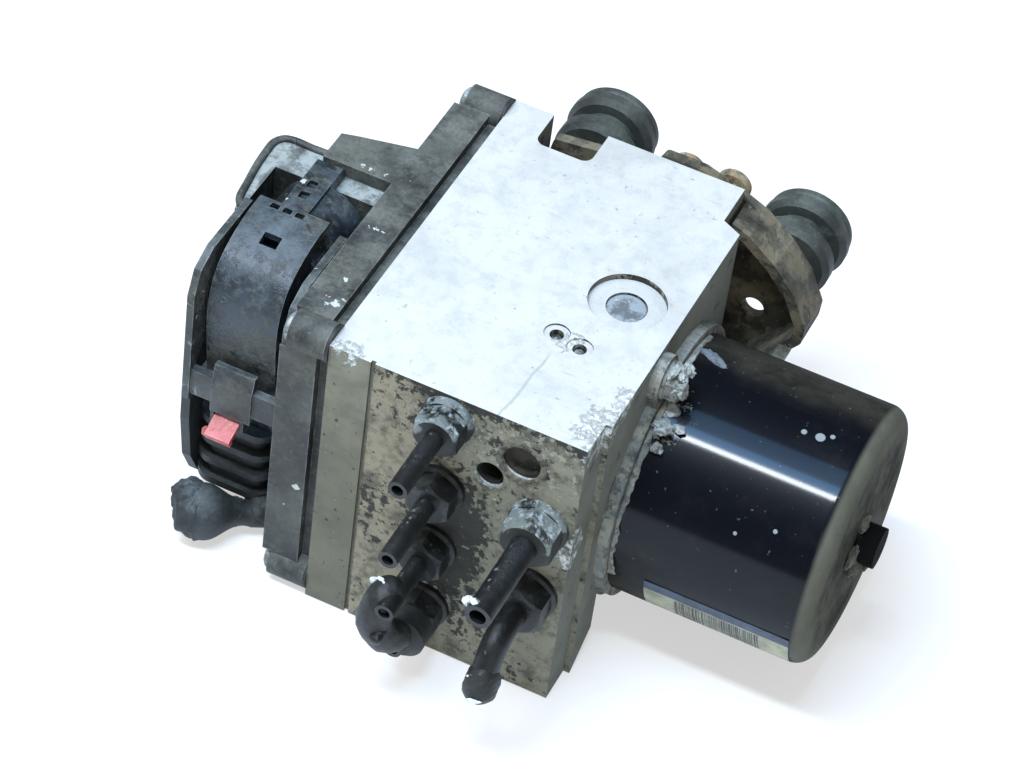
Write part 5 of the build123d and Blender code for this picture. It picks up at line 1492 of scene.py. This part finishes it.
@dataclass
class PumpMotor:
    """The motor can with its flange, bolts, worn label and corrosion."""

    label_x: tuple[float, float] = (91.0, 134.0)
    label_angles: tuple[float, float] = (-169.0, -143.0)
    label_lift: float = 0.14 * MM
    label_curl: float = 12 * MM
    label_uneven: float = 0.03 * MM
    label_grid: tuple[int, int] = (90, 50)
    seam_offset: float = 0.2 * MM
    seam_width: float = 1.7 * MM
    seam_angles: tuple[float, float] = (62.0, 196.0)
    bead_height: float = 0.8 * MM
    bead_sink: float = 0.08 * MM
    bead_grid: tuple[int, int] = (220, 13)
    foil_centre: Point = at(86.0, 63.2, 84.3)
    foil_radii: Point = (4.8, 1.9, 0.8)
    foil_turn: float = -24.0
    crust_lumps: Lumps = (
        ((83.6, 43.0, 94.6), (2.2, 3.6, 1.8), 12.0), ((85.2, 39.6, 92.2), (1.7, 2.6, 2.2), -20.0),
        ((84.6, 46.4, 93.6), (1.5, 2.4, 1.5), 30.0), ((82.0, 41.6, 96.0), (1.0, 3.8, 1.0), 0.0),
        ((85.4, 42.6, 88.6), (1.2, 2.0, 1.8), 0.0), ((83.6, 35.0, 81.4), (3.2, 2.6, 1.1), -35.0),
        ((87.4, 37.4, 80.3), (2.0, 1.5, 0.8), 10.0), ((84.2, 31.6, 76.6), (1.4, 1.9, 1.0), 25.0))
    hub_lumps: Lumps = (
        ((138.9, 52.0, 45.4), (1.6, 5.2, 4.6), 0.0), ((139.4, 50.6, 42.0), (2.0, 3.0, 3.4), 0.0),
        ((142.6, 56.0, 43.0), (1.3, 3.6, 2.6), 0.0), ((138.6, 56.0, 54.2), (1.3, 3.4, 2.0), 0.0))
    specks: tuple[tuple[float, float, float], ...] = (
        (122.6, 99.0, 1.5 * MM), (125.5, 96.5, 0.8 * MM), (118.0, 99.5, 0.9 * MM), (141.0, 96.0, 1.1 * MM),
        (122.0, 143.0, 0.7 * MM), (112.0, 150.0, 0.6 * MM))

    def build(self) -> None:
        """Dresses the can and its hardware and adds the label and the crust."""
        spots = tuple((tuple(self.surface(np.array(at(x, 0, 0)[0]), np.radians(turn), np.array(0.0))), reach)
                      for x, turn, reach in self.specks)
        paint = CanFinish("gloss_black_paint", roughness=0.4, specular=0.07, coat=0.34, coat_roughness=0.1,
                          flange_x=CAN_LOW.x, end_x=CAN_HIGH.x, spots=spots).make()
        dress(["motor_can"], paint)
        rusty = RustyFinish("corroded_flange", roughness=0.85, paint=srgb(92, 96, 92), rust=srgb(120, 118, 104),
                            pale=srgb(178, 184, 180), dark=srgb(40, 40, 36), scale=180.0).make()
        dress(["motor_flange"], rusty)
        bolt = RustyFinish("salted_bolt", roughness=0.8, paint=srgb(120, 124, 118), rust=srgb(110, 104, 88),
                           pale=srgb(196, 200, 194), dark=srgb(48, 46, 40), scale=240.0).make()
        dress(["motor_bolts"], bolt)
        self.label()
        salts = bpy.data.materials["white_salts"]
        seam = self.can_bead("seam_crust", CAN_LOW.x + self.seam_offset, self.seam_width, *self.seam_angles, 21)
        settle(seam, rusty, "base")
        scatter("flange_crust", self.crust_lumps, 50, 0.42, salts, "base")
        foil = RustyFinish("torn_foil", roughness=0.75, metallic=0.1, paint=srgb(92, 100, 106),
                           rust=srgb(74, 80, 82), pale=srgb(128, 136, 142), dark=srgb(40, 43, 44)).make()
        settle(lump("torn_foil", self.foil_centre, self.foil_radii, 71, 0.5, self.foil_turn), foil, "base")
        grey = RustyFinish("hub_grime", roughness=0.9, paint=srgb(84, 84, 74), rust=srgb(66, 62, 50),
                           pale=srgb(130, 128, 114), dark=srgb(24, 23, 20), scale=200.0).make()
        scatter("hub_grime", self.hub_lumps, 80, 0.34, grey, "base")

    @staticmethod
    def surface(x: np.ndarray, angle: np.ndarray, lift: np.ndarray) -> np.ndarray:
        """Points on the can: axis + (radius + lift) * (cos, sin) of the angle, at x along the axis.

        Args:
            x: where along the axis.
            angle: where round it, in radians.
            lift: how far above the can's skin.

        Returns:
            The points, X, Y and Z on the last axis.
        """
        radius = CAN_RADIUS + lift
        return np.stack([x, CAN_CENTRE[0] + radius * np.cos(angle), CAN_CENTRE[1] + radius * np.sin(angle)],
                        axis=-1)

    def can_bead(self, name: str, x: float, width: float, start: float, end: float, seed: int) -> bpy.types.Object:
        """A lumpy bead round the can: a half-round section swept about the axis, uneven by wobble.

        Args:
            name: the piece's name.
            x: where it lies along the axis.
            width: the bead's full width.
            start: first angle in degrees.
            end: last angle in degrees.
            seed: changes the lumps.

        Returns:
            The bead, its open underside resting on the can.
        """
        sweep = np.linspace(math.radians(start), math.radians(end), self.bead_grid[0])
        section = np.linspace(0, math.pi, self.bead_grid[1])
        along, across = np.meshgrid(sweep, section, indexing="ij")
        bend = wobble(np.stack([np.cos(along), np.sin(along), across * 0.1], axis=-1), 0.14, seed)
        half = width / 2 * (1 + 0.5 * bend)
        lift = self.bead_height * np.sin(across) * (0.7 + 0.5 * np.abs(bend)) - self.bead_sink
        return grid_mesh(name, self.surface(x + half * (np.cos(across) + 0.8), along, lift))

    def label(self) -> None:
        """A worn sticker: a patch of the can's surface, raised a little and slightly lifted at two corners.

        Lift = label lift + curl at the corners + wobble.
        """
        start, end = (at(x, 0, 0)[0] for x in self.label_x)
        long, wide = self.label_grid
        x, angle = np.meshgrid(np.linspace(start, end, long), np.radians(np.linspace(*self.label_angles, wide)),
                               indexing="ij")
        u = np.linspace(0, 1, long)[:, None]
        v = np.linspace(0, 1, wide)[None, :]
        curl = np.clip(0.08 - v, 0, 1) * np.clip(np.abs(u - 0.5) * 2 - 0.85, 0, 1)
        uneven = wobble(np.stack([x, angle * 0.03, x], axis=-1), 0.006, 3)
        lift = self.label_lift + self.label_curl * curl + self.label_uneven * uneven
        worn = LabelFinish("worn_label", roughness=0.5, x_ends=(start, end), angles=self.label_angles).make()
        settle(grid_mesh("can_label", self.surface(x, angle, lift)), worn, "base")


@dataclass
class ControlUnit:
    """The electronics housing with its seal, board, header pins and screws."""

    tower_top: float = 93.6
    rim_lift: float = 0.2
    rim_radius: float = 1.15
    rim_line: Outline = (
        (-47.4, 39.6), (-49.6, 43.0), (-50.6, 49.0), (-51.6, 56.0), (-52.2, 63.0), (-52.2, 67.6), (-50.6, 70.6),
        (-47.4, 71.6), (-42.0, 71.4), (-36.6, 71.6))
    chips: Spots = (
        (at(-7.8, 25.2, 98), 1.1 * MM), (at(-6.2, 15.6, 98), 1.9 * MM), (at(-4.9, 17.6, 98), 1.1 * MM),
        (at(-8.2, 14.4, 98), 0.9 * MM), (at(-12.4, 47.0, 98), 1.0 * MM), (at(-10.2, 47.1, 98), 0.7 * MM),
        (at(-7.6, 47.0, 98), 0.6 * MM), (at(-6.4, 0.0, 39.8), 1.7 * MM), (at(-25.2, 68.1, 98), 0.9 * MM),
        (at(-22.4, 68.1, 98), 0.7 * MM), (at(-17.4, 68.2, 98), 0.9 * MM), (at(-5.4, 0.0, 64.0), 0.9 * MM))

    def build(self) -> None:
        """Dresses the housing and what it holds."""
        housing = PlasticFinish(
            "faded_housing", roughness=0.58, base=srgb(24, 27, 25), faded=srgb(68, 71, 66),
            dust=srgb(122, 125, 117), dust_amount=0.66, everywhere=0.08, mud=srgb(90, 91, 82), mud_amount=0.26,
            edge=srgb(146, 150, 144), edge_amount=0.5, scratch_amount=0.12, chips=self.chips,
            flat_height=self.tower_top * MM,
            mud_spots=((at(-13, 30, 98), 12 * MM), (at(-3, -1, 88), 14 * MM), (at(-30, 72, 98), 12 * MM))).make()
        dress(["ecu_housing"], housing)
        rim = [at(x, y, self.tower_top + self.rim_lift) for x, y in self.rim_line]
        settle(hose("tower_rim", rim, self.rim_radius, 61, rough=0.05, end_share=0.02, count=160), housing,
               "base")
        dress(["ecu_gasket"], RubberFinish("seal_rubber", roughness=0.6, base=srgb(18, 19, 18),
                                           dust=srgb(84, 86, 78), dust_amount=0.3).make())
        screws = RustyFinish("tray_screws", roughness=0.55, metallic=0.3, paint=srgb(140, 150, 152),
                             rust=srgb(120, 124, 118), pale=srgb(190, 198, 198), dark=srgb(66, 68, 64)).make()
        dress(["ecu_screws"], screws)
        board = PlasticFinish("board_green", roughness=0.5, base=srgb(24, 66, 44), faded=srgb(34, 84, 58),
                              dust_amount=0.1, everywhere=0.0, edge_amount=0.0).make()
        dress(["circuit_board"], board)
        dress(["header_pins"], PlainMetal("tinned_pins", roughness=0.3, metallic=0.9,
                                          colour=srgb(190, 176, 140)).make())


@dataclass
class HarnessPlug:
    """The plug with its wire hood, lever, red lock, boot and harness stub."""

    arm_xs: tuple[tuple[float, float], ...] = ((-46.2, -45.0), (-17.2, -16.0))
    # Outline in Y and Z of the webs that fill the gaps beside the lever arms, coloured near black as painted shade.
    web: Outline = ((8.6, 53.0), (24.0, 53.0), (24.0, 83.0), (19.0, 88.0), (12.0, 88.0), (8.6, 84.0))
    chip_centre: Point = at(-36.6, 4.4, 42.6)
    chip_radii: Point = (0.9, 0.7, 1.9)
    chip_turn: float = 20.0
    stub_lumps: Lumps = (
        ((-40.6, 6.4, 11.6), (5.6, 5.2, 5.6), 20.0), ((-37.2, 2.4, 9.0), (5.4, 5.2, 7.0), -15.0),
        ((-30.0, 11.0, 7.0), (5.6, 4.4, 4.4), 40.0), ((-22.6, 17.4, 7.4), (5.4, 5.0, 4.8), 10.0))

    def build(self) -> None:
        """Dresses the plug's parts and adds its lumps and its webs, whose near black colour is painted shade."""
        sheen = PlasticFinish(
            "satin_plastic", roughness=0.36, base=srgb(10, 15, 19), faded=srgb(36, 48, 56), mud_amount=0.28,
            dust=srgb(108, 120, 126), dust_amount=0.6, everywhere=0.1, mud=srgb(86, 88, 80),
            edge=srgb(132, 140, 140), edge_amount=0.45, scratch_amount=0.1,
            chips=((at(-36.5, 44.5, 98.4), 0.9 * MM), (at(-35.8, 53.7, 98), 1.5 * MM),
                   (at(-40.1, 59.7, 98), 0.8 * MM), (at(-39.3, 53.4, 98), 0.8 * MM), (at(-24.0, 21.0, 91), 0.8 * MM)),
            mud_spots=((at(-30, 14, 66), 16 * MM), (at(-36, 14, 58), 14 * MM), (at(-26, 15, 76), 9 * MM),
                       (at(-24, 40, 97), 8 * MM))).make()
        dress(["plug_hood", "plug_body"], sheen)
        lever = PlasticFinish(
            "lever_plastic", roughness=0.5, base=srgb(30, 33, 33), faded=srgb(62, 68, 68), mud_amount=0.3,
            dust=srgb(128, 138, 138), dust_amount=0.6, everywhere=0.16, mud=srgb(84, 84, 74), edge_amount=0.4,
            mud_spots=((at(-31, 8, 56), 9 * MM), (at(-46, 14, 86), 12 * MM))).make()
        dress(["plug_lever"], lever)
        # Near black webs beside the lever arms: partly real web plates, and their colour is painted shade, darker
        # than the lever's own plastic.
        dark = PlasticFinish("shaded_lever_web", roughness=0.6, base=srgb(16, 18, 17), faded=srgb(30, 33, 31),
                             dust_amount=0.3, everywhere=0.05, edge_amount=0.2, mud_amount=0.2).make()
        for side, (low, high) in zip(("left", "right"), self.arm_xs):
            settle(plate(f"shaded_lever_web_{side}", self.web, low, high), dark, "lever")
        red = PlasticFinish(
            "red_lock_plastic", roughness=0.42, base=srgb(172, 62, 58), faded=srgb(186, 92, 88),
            dust=srgb(204, 172, 168), edge=srgb(222, 170, 160), dust_amount=0.35, everywhere=0.1,
            mud=srgb(200, 148, 144), mud_amount=0.1, mud_spots=((at(-31, 10.5, 47.5), 8.5 * MM),)).make()
        dress(["lever_lock"], red)
        settle(lump("lock_chip", self.chip_centre, self.chip_radii, 91, 0.3, self.chip_turn), red, "lock")
        rubber = RubberFinish("boot_rubber", roughness=0.6, base=srgb(24, 27, 26), dust=srgb(78, 86, 86),
                              dust_amount=0.8).make()
        dress(["cable_boot"], rubber)
        taped = RubberFinish("taped_stub", roughness=0.62, base=srgb(26, 31, 32), dust=srgb(98, 108, 110),
                             dust_amount=0.9, everywhere=0.5, grime=0.5).make()
        dress(["harness_stub"], taped)
        scatter("stub_fold", self.stub_lumps, 100, 0.16, taped, "plug", 0.6)


@dataclass
class Mounting:
    """The bracket with its rubber mounts, sleeves and bolts."""

    def build(self) -> None:
        """Dresses the bracket and its hardware."""
        steel = RustyFinish("flaking_steel", roughness=0.8, paint=srgb(56, 52, 42), rust=srgb(98, 88, 68),
                            pale=srgb(140, 136, 116), dark=srgb(22, 20, 16), scale=110.0).make()
        dress(["mounting_bracket"], steel)
        bolts = RustyFinish("rusted_bolts", roughness=0.85, paint=srgb(132, 126, 104), rust=srgb(134, 112, 78),
                            pale=srgb(176, 172, 150), dark=srgb(60, 52, 38), scale=200.0).make()
        dress(["bracket_bolts"], bolts)
        rubber = RubberFinish("mount_rubber", roughness=0.6, base=srgb(30, 33, 31), dust=srgb(112, 120, 110),
                              dust_amount=0.6).make()
        dress(["rubber_mount_left", "rubber_mount_right"], rubber)
        dress(["mount_sleeves"], RustyFinish("mount_sleeve_steel", roughness=0.7, metallic=0.3,
                                             paint=srgb(110, 110, 100), scale=200.0).make())


@dataclass
class Inside:
    """What the block and the can close in."""

    def build(self) -> None:
        """Dresses the inner pieces by their metal."""
        steel = PlainMetal("ground_steel", roughness=0.28, metallic=1.0, colour=srgb(196, 198, 200)).make()
        dress(["pump_piston_upper", "pump_piston_lower", "piston_spring_upper", "piston_spring_lower",
               "accumulator_spring_front", "accumulator_spring_rear", "motor_shaft", "eccentric_ring",
               "front_bearing"], steel)
        light = PlainMetal("turned_aluminium", roughness=0.4, metallic=0.9, colour=srgb(206, 208, 208)).make()
        dress(["accumulator_piston_front", "accumulator_piston_rear", "accumulator_caps", "outlet_valves",
               "inlet_valves"], light)
        dress(["motor_magnets"], PlainMetal("ferrite", roughness=0.7, colour=srgb(66, 66, 70)).make())
        dress(["armature_core"], PlainMetal("laminated_steel", roughness=0.5, metallic=0.8,
                                            colour=srgb(120, 122, 126)).make())
        copper = PlainMetal("enamelled_copper", roughness=0.35, metallic=0.9, colour=srgb(184, 100, 54)).make()
        dress(["armature_windings", "commutator"], copper)
        dress(["rear_bush"], PlainMetal("sintered_bronze", roughness=0.5, metallic=0.9,
                                        colour=srgb(176, 130, 76)).make())
        dress(["brushes"], PlainMetal("brush_carbon", roughness=0.8, colour=srgb(44, 44, 46)).make())
        dress(["brush_holder"], PlasticFinish("holder_plastic", roughness=0.5, dust_amount=0.1).make())
        dress(["solenoid_coils"], PlasticFinish("coil_wrap", roughness=0.5, base=srgb(60, 44, 30),
                                                faded=srgb(84, 62, 44), dust_amount=0.1).make())


# ------------------------------------------------------------------ studio
@dataclass
class Studio:
    """Camera, lamps, floor and world."""

    camera_place: Point = (0.24463, -0.71438, 0.80315)
    camera_forward: Point = (-0.2398, 0.6698, -0.7027)
    camera_up: Point = (-0.3689, 0.6067, 0.7042)
    lens: float = 133.99
    sensor: float = 36.0
    aim: Point = (0.02, 0.0, 0.05)
    shift: tuple[float, float] = (0.0121, -0.0129)
    sky: float = 0.38
    gloss_share: float = 0.16
    floor_reach: float = 3.0
    floor_drop: float = 0.4 * MM
    floor_glow: float = 0.55
    floor_gloss: float = 0.2
    lamps: tuple[tuple[str, Point, tuple[float, float], float], ...] = (
        ("key", (-0.9, -0.15, 1.5), (1.1, 1.1), 15.0), ("fill", (0.9, -1.3, 0.9), (1.4, 1.0), 5.0))
    strip_length: float = 0.6
    strip_height: float = 1.1
    strip_inset: float = 0.03
    strips: tuple[tuple[str, tuple[float, float], float, float, Colour], ...] = (
        ("strip", (-0.2, -0.4), 0.085, 14.0, (0.86, 0.94, 1.0)),
        ("strip_glow", (-0.2, -0.3), 0.2, 6.0, (0.2, 0.5, 1.0)),
        ("soft_sheen", (-0.2, -0.08), 0.36, 3.0, (0.24, 0.54, 1.0)))

    def build(self) -> None:
        """Makes the whole studio."""
        self.camera()
        self.world()
        self.floor()
        for name, place, size, power in self.lamps:
            self.lamp(name, place, size, power)
        for name, (aside, ahead), width, power, colour in self.strips:
            place = (CAN_HIGH.x - self.strip_inset + aside, CAN_CENTRE[0] + ahead, CAN_CENTRE[1] + self.strip_height)
            self.lamp(name, place, (self.strip_length, width), power, diffuse=0.0, colour=colour, along_x=True)

    def camera(self) -> None:
        """A camera from its place, its forward line and its up line."""
        forward = Vector(self.camera_forward).normalized()
        right = forward.cross(Vector(self.camera_up)).normalized()
        up = right.cross(forward)
        turn = Matrix((right, up, -forward)).transposed().to_4x4()
        data = bpy.data.cameras.new("camera")
        data.lens = self.lens
        data.sensor_width = self.sensor
        data.shift_x, data.shift_y = self.shift
        made = bpy.data.objects.new("camera", data)
        made.matrix_world = Matrix.Translation(self.camera_place) @ turn
        bpy.context.scene.collection.objects.link(made)
        bpy.context.scene.camera = made

    def lamp(self, name: str, place: Point, size: tuple[float, float], power: float, diffuse: float = 1.0,
             colour: Colour = (1.0, 1.0, 1.0), along_x: bool = False) -> None:
        """An area lamp that looks at a point.

        Args:
            name: the lamp's name.
            place: where it hangs.
            size: its two sides.
            power: its power in watts.
            diffuse: its share in diffuse light.
            colour: its light's colour.
            along_x: lays its first side along the object's length and looks straight down.
        """
        data = bpy.data.lights.new(name, "AREA")
        data.shape = "RECTANGLE"
        data.size, data.size_y = size
        data.energy = power
        data.diffuse_factor = diffuse
        made = bpy.data.objects.new(name, data)
        made.location = place
        if not along_x:
            made.rotation_euler = (Vector(self.aim) - Vector(place)).to_track_quat("-Z", "Y").to_euler()
        data.color = colour
        bpy.context.scene.collection.objects.link(made)

    def world(self) -> None:
        """A pale sky: white to the camera and through clear things, dimmer as light, dimmest in reflections."""
        world = bpy.data.worlds.new("studio")
        world.use_nodes = True
        graph = Graph(world.node_tree)
        back = world.node_tree.nodes["Background"]
        path = graph.node("ShaderNodeLightPath")
        seen = graph.most(path.outputs["Is Camera Ray"], path.outputs["Is Transmission Ray"])
        lit = graph.blend(path.outputs["Is Glossy Ray"], self.sky, self.gloss_share)
        back.inputs["Color"].default_value = (1.0, 1.0, 1.0, 1.0)
        graph.feed(back.inputs["Strength"], graph.blend(seen, lit, 1.0))
        bpy.context.scene.world = world

    def floor(self) -> None:
        """A wide pale floor just under the object, lifted towards white for the camera, less in reflections."""
        reach = self.floor_reach
        u = np.linspace(-reach, reach, 3)
        x, y = np.meshgrid(u, u, indexing="ij")
        floor = grid_mesh("floor", np.stack([x, y, np.full_like(x, -self.floor_drop)], axis=-1))
        material = bpy.data.materials.new("pale_floor")
        material.use_nodes = True
        graph = Graph(material.node_tree)
        shader = material.node_tree.nodes["Principled BSDF"]
        shader.inputs["Roughness"].default_value = 0.9
        cloud = graph.window(graph.noise(graph.place(), 2.0, 2.0), 0.3, 0.7)
        graph.feed(shader.inputs["Base Color"], graph.mix(cloud, srgb(248, 249, 249), srgb(245, 246, 246)))
        glow = graph.node("ShaderNodeEmission")
        glow.inputs["Color"].default_value = (*srgb(254, 254, 254), 1.0)
        path = graph.node("ShaderNodeLightPath")
        mixed = graph.node("ShaderNodeMixShader")
        bright = graph.most(path.outputs["Is Camera Ray"], path.outputs["Is Transmission Ray"])
        glossy = graph.times(path.outputs["Is Glossy Ray"], self.floor_gloss)
        share = graph.times(graph.most(bright, glossy), self.floor_glow)
        graph.feed(mixed.inputs[0], share)
        graph.feed(mixed.inputs[1], shader.outputs[0])
        graph.feed(mixed.inputs[2], glow.outputs[0])
        graph.feed(material.node_tree.nodes["Material Output"].inputs[0], mixed.outputs[0])
        floor.data.materials.append(material)


def write_sizes() -> None:
    """Updates the view layer."""
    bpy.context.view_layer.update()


def main() -> None:
    """Builds the shared effects, every sub-assembly and the studio, in order."""
    logging.basicConfig(level=logging.INFO, format="%(name)s: %(message)s")
    for build in (build_mottle, build_crust, build_dust, build_worn_edge):
        build()
    for assembly in (ValveBlock(), TubeFittings(), PumpMotor(), ControlUnit(), HarnessPlug(), Mounting(),
                     Inside(), Studio()):
        assembly.build()
        LOG.info("built %s", type(assembly).__name__)
    bpy.context.scene.view_settings.view_transform = "Standard"
    write_sizes()


if __name__ == "__main__":
    main()
